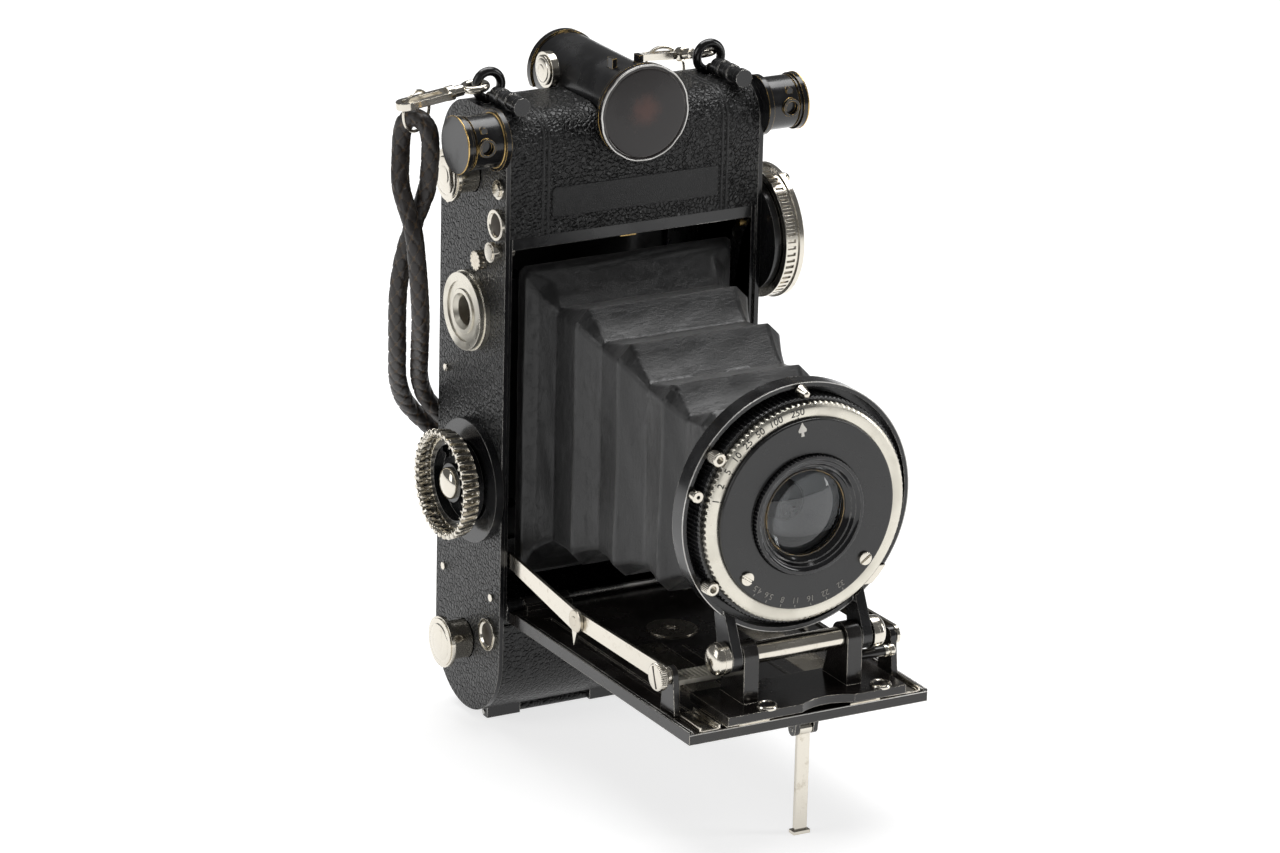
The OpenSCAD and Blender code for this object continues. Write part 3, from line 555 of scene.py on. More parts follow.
# ---------------------------------------------------------------- the bench
class Bench:
    """Makes meshes from numpy surfaces and hands finished pieces to the frame."""

    def __init__(self, axes: BodyAxes) -> None:
        """Keep the body's axes and build the shared effects."""
        self.axes = axes
        self.effects = Effects()
        self.materials: dict[str, bpy.types.Material] = {}
        self.count = 0

    def material(self, finish: str) -> bpy.types.Material:
        """The material of a named finish, built when it is first asked for."""
        if finish not in self.materials:
            self.materials[finish] = FINISHES[finish].build(self.effects)
        return self.materials[finish]

    def dress(self, node_object: bpy.types.Object, finish: str) -> None:
        """Give a carried-over CAD node its finish."""
        if not node_object.material_slots:
            node_object.data.materials.append(self.material(finish))
        for slot in node_object.material_slots:
            slot.material = self.material(finish)

    def mesh(self, name: str, points: Array, faces: Sequence, sharp: float = 32.0,
             in_metres: bool = False) -> bpy.types.Object:
        """Make an object from points and faces.

        Args:
            name: the piece's name.
            points: an n by 3 array, in body millimetres unless in_metres.
            faces: the vertex numbers of each face.
            sharp: edges that turn by more than this many degrees stay sharp.
            in_metres: the points are already in the frame's metres.

        Returns:
            The object, at the origin.
        """
        data = bpy.data.meshes.new(name)
        spots = np.asarray(points, float) if in_metres else self.axes.place(points)
        data.from_pydata(spots.tolist(), [], [tuple(int(i) for i in face) for face in faces])
        data.validate()
        data.update()
        data.shade_smooth()
        data.set_sharp_from_angle(angle=math.radians(sharp))
        obj = bpy.data.objects.new(name, data)
        bpy.context.scene.collection.objects.link(obj)
        return obj

    def surface(self, name: str, grid: Array, wrap_u: bool = True, wrap_v: bool = False, caps: bool = True,
                flip: bool = False, sharp: float = 32.0) -> bpy.types.Object:
        """Make an object from a grid of points.

        Args:
            name: the piece's name.
            grid: rows by columns by 3; u runs along a row and v from row to row.
            wrap_u: the last column joins the first.
            wrap_v: the last row joins the first.
            caps: close the first and the last row with a face when the rows don't wrap.
            flip: turn the faces round.
            sharp: the angle above which edges stay sharp.

        Returns:
            The object.
        """
        rows, columns = grid.shape[:2]
        across = columns if wrap_u else columns - 1
        down = rows if wrap_v else rows - 1
        i, j = np.meshgrid(np.arange(down), np.arange(across), indexing="ij")
        i2, j2 = (i + 1) % rows, (j + 1) % columns
        quads = np.stack([i * columns + j, i * columns + j2, i2 * columns + j2, i2 * columns + j], -1)
        faces = quads.reshape(-1, 4).tolist()
        if caps and not wrap_v:
            faces += [list(range(columns - 1, -1, -1)), [(rows - 1) * columns + k for k in range(columns)]]
        if flip:
            faces = [face[::-1] for face in faces]
        return self.mesh(name, grid.reshape(-1, 3), faces, sharp)

    def turned(self, name: str, profile: Sequence[tuple[float, float]], at: tuple[float, float, float],
               axis: Axis = Axis.Y, steps: int = 72, wave: Callable[[Array, Array], Array] | None = None,
               closed: bool = True, sharp: float = 32.0) -> bpy.types.Object:
        """A turned piece: each profile point (radius, distance along the axis) goes round in a circle.

        Args:
            name: the piece's name.
            profile: radius and distance pairs, in millimetres.
            at: where distance 0 on the axis is.
            axis: the axis' direction.
            steps: how many points go round.
            wave: adds to the radius, given the angles and the profile's row numbers.
            closed: the profile joins its own start, as a ring's section does.
            sharp: the angle above which edges stay sharp.

        Returns:
            The object.
        """
        pairs = np.asarray(profile, float)
        angle = np.arange(steps) * TAU / steps
        radius = np.repeat(pairs[:, :1], steps, axis=1)
        if wave is not None:
            radius = radius + wave(angle[None, :], np.arange(len(pairs))[:, None])
        along = np.repeat(pairs[:, 1:], steps, axis=1)
        a, b = radius * np.cos(angle), radius * np.sin(angle)
        order = {Axis.X: (along, a, b), Axis.Y: (a, along, b), Axis.Z: (a, b, along)}[axis]
        grid = np.stack(order, -1) + np.asarray(at, float)
        obj = self.surface(name, grid, wrap_v=closed, caps=not closed, sharp=sharp)
        return self.outward(obj)

    def outward(self, obj: bpy.types.Object) -> bpy.types.Object:
        """Merge doubles and turn every face outwards."""
        work = bmesh.new()
        work.from_mesh(obj.data)
        bmesh.ops.remove_doubles(work, verts=work.verts, dist=1e-7)
        bmesh.ops.dissolve_degenerate(work, edges=work.edges, dist=1e-8)
        bmesh.ops.recalc_face_normals(work, faces=work.faces)
        work.to_mesh(obj.data)
        work.free()
        obj.data.update()
        return obj

    def plate(self, name: str, outline: Array, low: float, high: float, axis: Axis, bevel: float = 0.25,
              sharp: float = 35.0) -> bpy.types.Object:
        """A flat piece: an outline carried along an axis from low to high, with its edges eased.

        Args:
            name: the piece's name.
            outline: n by 2 points; (y, z) for X, (x, z) for Y, (x, y) for Z.
            low: where the piece starts along the axis.
            high: where it ends.
            axis: the axis' direction.
            bevel: the eased edge's width.
            sharp: the angle above which edges stay sharp.

        Returns:
            The object.
        """
        flat = np.asarray(outline, float)
        count = len(flat)
        layers = []
        for value in (low, high):
            along = np.full((count, 1), value)
            parts = {Axis.X: (along, flat[:, :1], flat[:, 1:]), Axis.Y: (flat[:, :1], along, flat[:, 1:]),
                     Axis.Z: (flat[:, :1], flat[:, 1:], along)}[axis]
            layers.append(np.hstack(parts))
        ring = np.arange(count)
        sides = np.stack([ring, (ring + 1) % count, (ring + 1) % count + count, ring + count], -1).tolist()
        faces = sides + [ring[::-1].tolist(), (ring + count).tolist()]
        obj = self.outward(self.mesh(name, np.vstack(layers), faces, sharp))
        if bevel > 0:
            ease = obj.modifiers.new("eased edges", "BEVEL")
            ease.width = bevel * MM
            ease.segments = 2
            ease.limit_method = "ANGLE"
            ease.angle_limit = math.radians(40)
        return obj

    def join(self, name: str, pieces: Sequence[bpy.types.Object]) -> bpy.types.Object:
        """Make one piece of several that share a finish and a body."""
        depsgraph = bpy.context.evaluated_depsgraph_get()
        points, faces, base = [], [], 0
        for piece in pieces:
            data = piece.evaluated_get(depsgraph).to_mesh()
            flat = np.empty(len(data.vertices) * 3)
            data.vertices.foreach_get("co", flat)
            points.append(flat.reshape(-1, 3))
            faces += [[base + i for i in polygon.vertices] for polygon in data.polygons]
            base += len(data.vertices)
            piece.evaluated_get(depsgraph).to_mesh_clear()
        obj = self.mesh(name, np.vstack(points), faces, in_metres=True)
        for piece in pieces:
            bpy.data.objects.remove(piece)
        return obj

    def done(self, obj: bpy.types.Object, body: str, slot: str, finish: str,
             replaces: Iterable[str] = ()) -> bpy.types.Object:
        """Finish a piece: its material, the body it rides on and the nodes it replaces."""
        obj.data.materials.clear()
        obj.data.materials.append(self.material(finish))
        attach(obj, body)
        names = tuple(replaces)
        if names:
            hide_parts(*names)
        self.count += 1
        LOG.info("%s rides on %s", obj.name, body)
        return obj


def round_profile(radius: float, low: float, high: float, ease: float = 0.25, hole: float = 0.0) -> list:
    """The profile of a disc or ring with eased outer edges.

    Args:
        radius: outer radius.
        low: where it starts along its axis.
        high: where it ends.
        ease: the width of the eased edges.
        hole: the inner radius, or 0 for a full disc.

    Returns:
        Radius and distance pairs.
    """
    return [(hole, low), (radius - ease, low), (radius - ease * 0.3, low + ease * 0.3), (radius, low + ease),
            (radius, high - ease), (radius - ease * 0.3, high - ease * 0.3), (radius - ease, high),
            (hole, high)]


def arc(centre: tuple[float, float], radius: float, start: float, stop: float, count: int = 12) -> Array:
    """Points on an arc, its angles in degrees."""
    angle = np.radians(np.linspace(start, stop, count))
    return np.stack([centre[0] + radius * np.cos(angle), centre[1] + radius * np.sin(angle)], -1)


def smooth_noise(u: Array, v: Array, seed: int, waves: int = 6) -> Array:
    """A repeatable soft noise: the sum of a few sines with seeded directions and phases."""
    source = np.random.default_rng(seed)
    total = np.zeros(np.broadcast(u, v).shape)
    for _ in range(waves):
        a, b, phase = source.uniform(-1, 1), source.uniform(-1, 1), source.uniform(0, TAU)
        total += np.sin(a * u + b * v + phase)
    return total / waves


def catmull(route: Array, steps: int) -> Array:
    """A smooth line through the route: each stretch is the usual cubic of its four nearest points."""
    n = len(route)
    index = np.arange(n - 1)
    a, b = route[np.maximum(index - 1, 0)], route[index]
    c, d = route[index + 1], route[np.minimum(index + 2, n - 1)]
    t = (np.arange(steps) / steps)[None, :, None]
    a, b, c, d = (p[:, None, :] for p in (a, b, c, d))
    line = 0.5 * (2 * b + (c - a) * t + (2 * a - 5 * b + 4 * c - d) * t**2 + (3 * b - a - 3 * c + d) * t**3)
    return np.vstack([line.reshape(-1, 3), route[-1:]])


def carried_axes(path: Array) -> tuple[Array, Array]:
    """Two directions across a path, carried along it so that they don't twist."""
    tangent = np.gradient(path, axis=0)
    tangent /= np.linalg.norm(tangent, axis=1, keepdims=True)
    first = np.empty_like(path)
    aside = np.array([1.0, 0.2, 0.1])
    for k, t in enumerate(tangent):
        aside = aside - t * (aside @ t)
        aside /= np.linalg.norm(aside)
        first[k] = aside
    return first, np.cross(tangent, first)


# ---------------------------------------------------------------- sub-assemblies
@dataclass(frozen=True)
class Fold:
    """One crease of the bellows: a tapering frame at a depth, with its corners cut."""

    half: float
    y: float
    top: float
    bottom: float
    cut: float


@dataclass
class Bellows:
    """The pleated bellows between the housing and the lens board."""

    bench: Bench
    folds: tuple[Fold, ...] = (
        Fold(33.5, 5.0, 137.0, 46.0, 1.2), Fold(32.5, 3.0, 135.4, 47.5, 1.2),
        Fold(29.6, 1.5, 133.4, 51.0, 3.4),
        Fold(26.0, -4.5, 126.4, 57.5, 1.0), Fold(27.0, -16.4, 129.4, 55.0, 3.6),
        Fold(23.2, -25.1, 121.8, 61.0, 1.0),
        Fold(25.2, -37.5, 125.0, 58.5, 3.6), Fold(21.4, -47.5, 116.5, 63.5, 1.0),
        Fold(22.8, -58.2, 119.4, 60.5, 3.4),
        Fold(19.4, -66.5, 113.0, 66.5, 1.0), Fold(20.6, -76.0, 116.8, 63.5, 3.2),
        Fold(18.8, -83.0, 113.5, 67.0, 1.4),
        Fold(20.5, -86.0, 117.6, 66.0, 1.4))
    per_side: int = 40
    rows: int = 10
    crumple: float = 0.42

    def frame_outline(self, fold: Fold) -> Array:
        """A crease's outline: straight sides joined by cut corners, the same count of points on each."""
        h, c, up, low = fold.half, fold.cut, fold.top, fold.bottom
        corners = np.array([(-h + c, up), (h - c, up), (h, up - c), (h, low + c), (h - c, low), (-h + c, low),
                            (-h, low + c), (-h, up - c)])
        n = self.per_side
        counts = [n, 6, n, 6, n, 6, n, 6]
        runs = [a + (b - a) * (np.arange(k) / k)[:, None]
                for a, b, k in zip(corners, np.roll(corners, -1, axis=0), counts)]
        flat = np.vstack(runs)
        return np.stack([flat[:, 0], np.full(len(flat), fold.y), flat[:, 1]], -1)

    def build(self) -> bpy.types.Object:
        """Rows between creases bow in a little, and the whole cloth is crumpled by soft noise.

        Returns:
            The bellows.
        """
        rings = [self.frame_outline(fold) for fold in self.folds]
        grid = []
        for k, (a, b) in enumerate(zip(rings[:-1], rings[1:])):
            t = (np.arange(self.rows) / self.rows)[:, None, None]
            middle = np.array([0.0, 0.0, 93.0])
            line = a[None] + (b - a)[None] * t
            sag = np.sin(np.pi * t) * (0.012 if k > 1 else 0.0)
            grid.append(line + (middle - line) * sag * np.array([1.0, 0.0, 1.0]))
        grid = np.concatenate(grid + [rings[-1][None]])
        rows, columns = np.indices(grid.shape[:2])
        wave = smooth_noise(rows * 0.35, columns * 0.16, 3, 9) + 0.6 * smooth_noise(rows * 0.9,
                                                                                    columns * 0.55, 8, 9)
        outward = grid - np.array([0.0, 0.0, 93.0])
        outward[..., 1] = 0
        outward /= np.linalg.norm(outward, axis=-1, keepdims=True)
        grid = grid + outward * (wave * self.crumple)[..., None]
        grid[0], grid[-1] = rings[0], rings[-1]
        obj = self.bench.surface("bellows_pleats", grid, sharp=48.0, caps=False)
        wall = obj.modifiers.new("cloth thickness", "SOLIDIFY")
        wall.thickness = 0.5 * MM
        wall.offset = -1.0
        self.bench.done(obj, "root", "bellows_leather", "bellows", ["bellows"])
        anchor = self.bench.axes.place(np.array([0.0, 4.0, 93.0]))
        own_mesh(obj)
        return obj


@dataclass
class Strap:
    """The braided wrist strap: one cord from the clamp, through the left ring, back to the clamp."""

    bench: Bench
    radius: float = 2.6
    length: float = 493.0
    strand_pitch: float = 11.2
    relief: float = 0.42
    around: int = 40
    spacing: float = 0.34
    route: Array = field(default_factory=lambda: np.array([
        (30.4, 44, 151.8), (30.3, 44, 145), (29, 43.6, 131), (25, 43.2, 113), (18, 43, 97), (8, 43, 84.5),
        (-5, 43, 76.5), (-18, 43, 73.5), (-30, 43, 76.5), (-41, 42.6, 86), (-46.4, 39.8, 95),
        (-52, 29.5, 108),
        (-57, 19.5, 120), (-59.2, 16.2, 130), (-60.8, 14.8, 139.5), (-61.6, 16, 149), (-62, 22.5, 159),
        (-59.4, 28, 167), (-58.7, 28.7, 172.5), (-58.1, 27.5, 176.4), (-56.6, 24.3, 178),
        (-55.1, 21.1, 176.4),
        (-54.5, 19.8, 172.5), (-54.6, 19.6, 166), (-55.3, 20.1, 158), (-57.4, 22.6, 149), (-59.4, 25.4, 138),
        (-60, 27.6, 126), (-57.8, 32, 109.5), (-52.3, 41.6, 94.5), (-44.5, 47.8, 83.5), (-30, 49.2, 71),
        (-14, 49.4, 66), (1, 49.4, 70), (15, 49.4, 81), (26, 49.2, 96), (33, 48.6, 114), (35.8, 46.4, 132),
        (36, 44.2, 145), (36, 44, 151.8)]))

    def centre_line(self) -> Array:
        """The smooth line through the route, with even steps along its length."""
        fine = catmull(self.route, 40)
        steps = np.linalg.norm(np.diff(fine, axis=0), axis=1)
        run = np.concatenate([[0.0], np.cumsum(steps)])
        even = np.linspace(0, run[-1], int(run[-1] / self.spacing))
        return np.stack([np.interp(even, run, fine[:, k]) for k in range(3)], -1)

    def build(self) -> bpy.types.Object:
        """A round tube whose surface carries two crossing sets of strands as diamonds.

        Returns:
            The strap.
        """
        path = self.centre_line()
        first, second = carried_axes(path)
        angle = np.arange(self.around) * TAU / self.around
        run = np.linspace(0, self.length, len(path))[:, None] * TAU / self.strand_pitch
        lean, cross = np.cos(2 * angle[None] + run), np.cos(2 * angle[None] - run)
        relief = np.minimum(np.abs(lean * cross) * 3.2, 1.0) ** 0.5
        radius = self.radius - self.relief * (1 - relief)
        spoke = np.cos(angle)[None, :, None] * first[:, None] + np.sin(angle)[None, :, None] * second[:, None]
        grid = path[:, None] + spoke * radius[..., None]
        obj = self.bench.surface("braided_strap", grid, sharp=60.0)
        self.bench.outward(obj)
        mark = obj.data.attributes.new("relief", "FLOAT", "POINT")
        mark.data.foreach_set("value", relief.reshape(-1)[:len(obj.data.vertices)].astype(np.float32))
        self.bench.done(obj, "root", "strap_leather", "strap", ["strap"])
        line = self.bench.axes.place(path)
        return obj


@dataclass
class Shutter:
    """The rim-set shutter and the lens on the standard's board."""

    bench: Bench
    z: float = 92.3
    ring: float = 31.1
    face: float = 27.0
    glass: float = 12.2

    @property
    def middle(self) -> tuple[float, float, float]:
        """The lens axis' place, at depth 0."""
        return (0.0, 0.0, self.z)

    def around(self, radius: float, degrees: float, y: float) -> tuple[float, float, float]:
        """A point at a radius and an angle from the right, seen from the front."""
        turn = math.radians(degrees)
        return (radius * math.cos(turn), y, self.z + radius * math.sin(turn))

    def number(self, text: str, radius: float, degrees: float, y: float, height: float) -> bpy.types.Object:
        """A raised number that stands outwards on the dial.

        Args:
            text: the number.
            radius: how far its middle is from the lens axis.
            degrees: its angle.
            y: the face that it stands on.
            height: the height of its figures.

        Returns:
            A mesh.
        """
        curve = bpy.data.curves.new("figure", "FONT")
        curve.body, curve.align_x, curve.align_y, curve.extrude = text, "CENTER", "CENTER", 0.09
        curve.size = height * 1.4
        maker = bpy.data.objects.new("figure", curve)
        bpy.context.scene.collection.objects.link(maker)
        bpy.context.view_layer.update()
        data = bpy.data.meshes.new_from_object(maker)
        bpy.data.objects.remove(maker)
        flat = np.empty(len(data.vertices) * 3)
        data.vertices.foreach_get("co", flat)
        flat = flat.reshape(-1, 3)
        turn = math.radians(degrees)
        right, up = np.array([math.sin(turn), 0, -math.cos(turn)]), np.array([math.cos(turn), 0,
                                                                              math.sin(turn)])
        points = (np.array(self.around(radius, degrees, y)) + flat[:, :1] * right + flat[:, 1:2] * up
                  + flat[:, 2:] * np.array([0.0, -1.0, 0.0]))
        faces = [list(polygon.vertices) for polygon in data.polygons]
        return self.bench.mesh("figure", points, faces)

    def build_ring(self) -> None:
        """The speed ring: a stepped turned section, its rim cut with fine knurls, and its numbers."""
        bench, r = self.bench, self.ring
        section = [(27.15, -94.7), (r - 0.4, -94.7), (r, -94.9), (r, -96.2), (r - 0.3, -96.5),
                   (r - 0.9, -96.75),
                   (r - 1.3, -96.9), (27.6, -96.9), (27.15, -96.8)]
        knurl = lambda angle, row: np.where((row >= 2) & (row <= 3), 0.22 * np.cos(110 * angle) - 0.22, 0.0)
        ring = bench.turned("speed_ring_knurled", section, self.middle, steps=880, wave=knurl)
        bench.done(ring, "speed_ring", "nickel", "pale_nickel", ["speed_ring"])
        speeds = ("250", "100", "50", "25", "10", "5", "2", "1")
        places = (97, 110.5, 121, 130, 139, 148, 156.5, 165)
        figures = [self.number(t, 29.1, a, -96.88, 2.05) for t, a in zip(speeds, places)]
        ticks = [self.tick(27.3, 27.9, a, -96.9) for a in places]
        bench.done(bench.join("speed_numbers", figures + ticks), "speed_ring", "nickel", "dial_ink")

    def tick(self, low: float, high: float, degrees: float, y: float) -> bpy.types.Object:
        """A short radial mark."""
        turn = math.radians(degrees)
        side = np.array([-math.sin(turn), math.cos(turn)]) * 0.13
        ends = [np.array([math.cos(turn), math.sin(turn)]) * v for v in (low, high)]
        flat = np.array([ends[0] - side, ends[1] - side, ends[1] + side, ends[0] + side]) + np.array([0,
                                                                                                      self.z])
        return self.bench.plate("tick", flat, y - 0.05, y + 0.1, Axis.Y, bevel=0)

    def build_face(self) -> None:
        """The black face with fine turning, a white pointer, two slotted screws and the aperture marks."""
        bench = self.bench
        turning = [(r, -98.0 + 0.03 * (k % 2)) for k, r in enumerate(np.arange(26.4, 17.6, -0.22))]
        section = [(17.2, -96.85), (27.0, -96.85), (27.0, -97.7), (26.7, -98.0)] + turning + [(17.2, -98.0)]
        face = bench.turned("shutter_face_turned", section, self.middle, steps=160, sharp=50)
        bench.done(face, "standard", "enamel", "face_satin", ["shutter_face"])
        spade = np.array([(0, 26.7), (0.55, 25.6), (1.25, 24.6), (1.2, 23.9), (0.5, 23.7), (0.35, 23.9),
                          (0.5, 22.6),
                          (-0.5, 22.6), (-0.35, 23.9), (-0.5, 23.7), (-1.2, 23.9), (-1.25, 24.6),
                          (-0.55, 25.6)])
        lean = math.radians(6)
        turned = np.stack([spade[:, 0] * math.cos(lean) - spade[:, 1] * math.sin(lean),
                           spade[:, 0] * math.sin(lean) + spade[:, 1] * math.cos(lean) + self.z], -1)
        pointer = bench.plate("speed_pointer", turned, -98.12, -97.98, Axis.Y, bevel=0)
        bench.done(pointer, "standard", "enamel", "dial_white")
        screws = [self.screw((s * 18.5, -98.0, 76.8), 1.9, 35 * s) for s in (-1, 1)]
        bench.done(bench.join("face_screws", screws), "standard", "nickel", "nickel")
        stops = (("4.5", -128), ("5.6", -118), ("8", -107), ("11", -97), ("16", -86), ("22", -75),
                 ("32", -63))
        marks = [self.number(t, 24.4, a, -98.0, 1.7) for t, a in stops]
        marks += [self.tick(25.8, 26.5, a, -98.0) for _, a in stops]
        bench.done(bench.join("aperture_numbers", marks), "standard", "enamel", "dial_grey")

    def screw(self, at: tuple[float, float, float], radius: float, slot_turn: float) -> bpy.types.Object:
        """A cheese-head screw facing the front, with a cut slot: two half discs and a floor between them.

        Args:
            at: the middle of its seat.
            radius: its head's radius.
            slot_turn: the slot's angle in degrees.

        Returns:
            A mesh.
        """
        x, y, z = at
        bench, parts = self.bench, []
        for side in (0, 180):
            half = math.degrees(math.asin(0.16))
            bow = arc((0.0, 0.0), radius, side + half, side + 180 - half, 24)
            turn = math.radians(slot_turn)
            spun = np.stack([bow[:, 0] * math.cos(turn) - bow[:, 1] * math.sin(turn),
                             bow[:, 0] * math.sin(turn) + bow[:, 1] * math.cos(turn)], -1)
            parts.append(bench.plate("half", spun + np.array([x, z]), y - 0.75, y + 0.1, Axis.Y, bevel=0.12))
        parts.append(bench.turned("seat", round_profile(radius * 0.97, -0.25, 0.05, 0.05), at, closed=False))
        return bench.join("screw", parts)

    def build_barrel(self) -> None:
        """The lens barrel: a gloss ring, a knurled ring, a stepped cone down to the glass, and the iris."""
        bench, g = self.bench, self.glass
        outer = [(15.9, -84.0), (15.9, -97.6), (17.0, -97.7), (17.0, -99.2), (16.7, -99.5), (16.2, -99.6),
                 (15.8, -99.6), (15.5, -99.2), (14.9, -98.9), (14.6, -98.9), (14.3, -98.5), (13.9, -98.0),
                 (13.6, -98.0),
                 (13.2, -97.4), (g + 0.5, -97.1), (g + 0.2, -96.7), (g + 0.1, -96.5), (g + 0.1, -84.0)]
        notch = lambda angle, row: np.where((row >= 2) & (row <= 3), 0.16 * np.cos(90 * angle) - 0.16, 0.0)
        barrel = bench.turned("lens_barrel_turned", outer, self.middle, steps=720, wave=notch)
        bench.done(barrel, "standard", "enamel", "gloss_black", ["lens_barrel"])
        iris = [(4.4, -87.6), (g, -88.4), (g, -87.0), (4.4, -87.2)]
        bench.done(bench.turned("iris", iris, self.middle), "standard", "enamel", "iris_black")
        lip = [(g - 0.5, -96.2), (g + 0.15, -96.2), (g + 0.15, -96.9), (g - 0.2, -96.9)]
        bench.done(bench.turned("glass_retainer", lip, self.middle, steps=120), "standard", "enamel",
                   "brassy_enamel")

    def build_body(self) -> None:
        """The shutter's drum with a wavy grip, and a bright worn line on the board's rim."""
        bench = self.bench
        drum = [(17.2, -87.85), (31.9, -87.85), (32.2, -88.2), (32.2, -94.2), (31.9, -94.6), (27.1, -94.6),
                (27.1, -96.75), (17.2, -96.75)]
        wave = lambda angle, row: np.where((row >= 1) & (row <= 4), 0.14 * np.cos(144 * angle) - 0.14, 0.0)
        body = bench.turned("shutter_drum", drum, self.middle, steps=720, wave=wave)
        bench.done(body, "standard", "enamel", "enamel", ["shutter_body"])
        rim = [(35.25, -91.75), (35.52, -91.75), (35.52, -92.02), (35.25, -92.02)]
        bench.done(bench.turned("board_worn_rim", rim, self.middle, steps=200), "standard", "enamel", "steel")

    def build_fittings(self) -> None:
        """Two knurled hollow posts, the cable tab with its oval slot, and the cone button."""
        bench, pieces = self.bench, []
        for degrees in (145, 212):
            x, _, z = self.around(33.2, degrees, 0)
            section = [(1.0, -96.9), (1.7, -96.9), (1.95, -96.6), (2.0, -96.3), (2.0, -93.4), (1.6, -93.2),
                       (1.6, -92.0), (1.0, -92.0)]
            knurl = lambda angle, row: np.where((row >= 3) & (row <= 4), 0.1 * np.cos(24 * angle) - 0.1, 0.0)
            pieces.append(bench.turned("post", section, (x, 0.0, z), steps=240, wave=knurl))
            floor = round_profile(1.05, -95.6, -92.0, 0.05)
            pieces.append(bench.turned("floor", floor, (x, 0.0, z), steps=24, closed=False))
        x, _, z = self.around(33.2, 90, 0)
        cone = [(0, -95.9), (0.5, -95.85), (0.85, -95.6), (1.0, -95.2), (1.9, -92.4), (0, -92.4)]
        pieces.append(bench.turned("cone", cone, (x, 0.0, z), closed=False))
        x, _, z = self.around(33.4, 165, 0)
        tab = [(0.5, -94.7), (1.5, -94.7), (1.75, -94.4), (1.75, -92.4), (0.5, -92.4)]
        pieces.append(bench.turned("tab", tab, (x, 0.0, z)))
        bench.done(bench.join("shutter_posts", pieces), "standard", "nickel", "nickel", ["shutter_fittings"])

    def build(self) -> None:
        """Build every piece of the shutter and the lens."""
        self.build_body()
        self.build_ring()
        self.build_face()
        self.build_barrel()
        self.build_fittings()


@dataclass
class Housing:
    """The embossed lines and the blank plate on the top housing's leather."""

    bench: Bench
    top: float = 181.5
    lip: float = 147.3
    corner: float = 9.0

    def over_the_top(self) -> Array:
        """The front face's line carried up, round the corner and back over the top, as (y, z)."""
        bend = arc((self.corner, self.top - self.corner), self.corner, 180, 90, 20)
        return np.vstack([[(0.0, self.lip)], bend, [(22.6, self.top)]])

    def line(self, x: float, width: float = 0.45, height: float = 0.16) -> bpy.types.Object:
        """A raised line along the housing at x: a low rounded section swept along the outline."""
        path = self.over_the_top()
        tangent = np.gradient(path, axis=0)
        tangent /= np.linalg.norm(tangent, axis=1, keepdims=True)
        out = np.stack([-tangent[:, 1], tangent[:, 0]], -1)
        section = np.array([(-width, -0.3), (-width, 0.0), (-width * 0.5, height), (width * 0.5, height),
                            (width, 0.0), (width, -0.3)])
        lift = out[:, None] * section[None, :, 1:]
        across = np.broadcast_to(section[None, :, 0], lift.shape[:2]) + x
        grid = np.concatenate([across[..., None], path[:, None] + lift], -1)
        return self.bench.outward(self.bench.surface("embossed_line", grid))

    def build(self) -> None:
        """Build the lines and the plate."""
        bench = self.bench
        lines = bench.join("embossed_lines", [self.line(s * x) for s in (-1, 1) for x in (27.7, 29.3)])
        bench.done(lines, "root", "leather", "smooth_leather")
        corner, w, low, high = 1.2, 26.4, 151.8, 160.5
        outline = np.vstack([arc((w - corner, high - corner), corner, 0, 90, 6),
                             arc((-w + corner, high - corner), corner, 90, 180, 6),
                             arc((-w + corner, low + corner), corner, 180, 270, 6),
                             arc((w - corner, low + corner), corner, 270, 360, 6)])
        plate = bench.plate("blank_plate", outline, -0.2, 0.3, Axis.Y, bevel=0.12)
        bench.done(plate, "root", "leather", "smooth_leather")


@dataclass
class FinderDisc:
    """The round disc in front of the finder tube, worn at its rim, with a turned sunk middle."""

    bench: Bench
    radius: float = 13.9
    z: float = 180.0

    def build(self) -> None:
        """A dished disc with turning marks, a chipped rim, and a small off-centre painted reddish reflection
        from its finish.
        """
        bench, r = self.bench, self.radius
        steps = np.arange(r - 1.4, 0.4, -0.35)
        marks = [(v, -4.15 - 0.9 * (1 - (v / r) ** 2) + 0.012 * (k % 2)) for k, v in enumerate(steps)]
        section = [(0.0, -2.7), (r - 0.3, -2.7), (r, -3.0), (r, -4.1), (r - 0.3, -4.4), (r - 0.9, -4.4),
                   (r - 1.2, -4.25)] + marks + [(0.0, -5.05)]
        disc = bench.turned("finder_disc_turned", section, (0.0, 0.0, self.z), steps=140, closed=False,
                            sharp=45)
        bench.done(disc, "root", "enamel", "browned", ["finder_disc"])
        edge = [(r - 0.45, -4.42), (r - 0.1, -4.42), (r + 0.03, -4.3), (r + 0.03, -4.0), (r - 0.4, -4.0)]
        wave = lambda angle, row: -0.16 * np.maximum(np.sin(3 * angle + 1.0) * np.sin(11 * angle),
                                                     0.0) + 0.0 * row
        rim = bench.turned("finder_disc_rim", edge, (0.0, 0.0, self.z), steps=240, wave=wave)
        bench.done(rim, "root", "enamel", "steel")


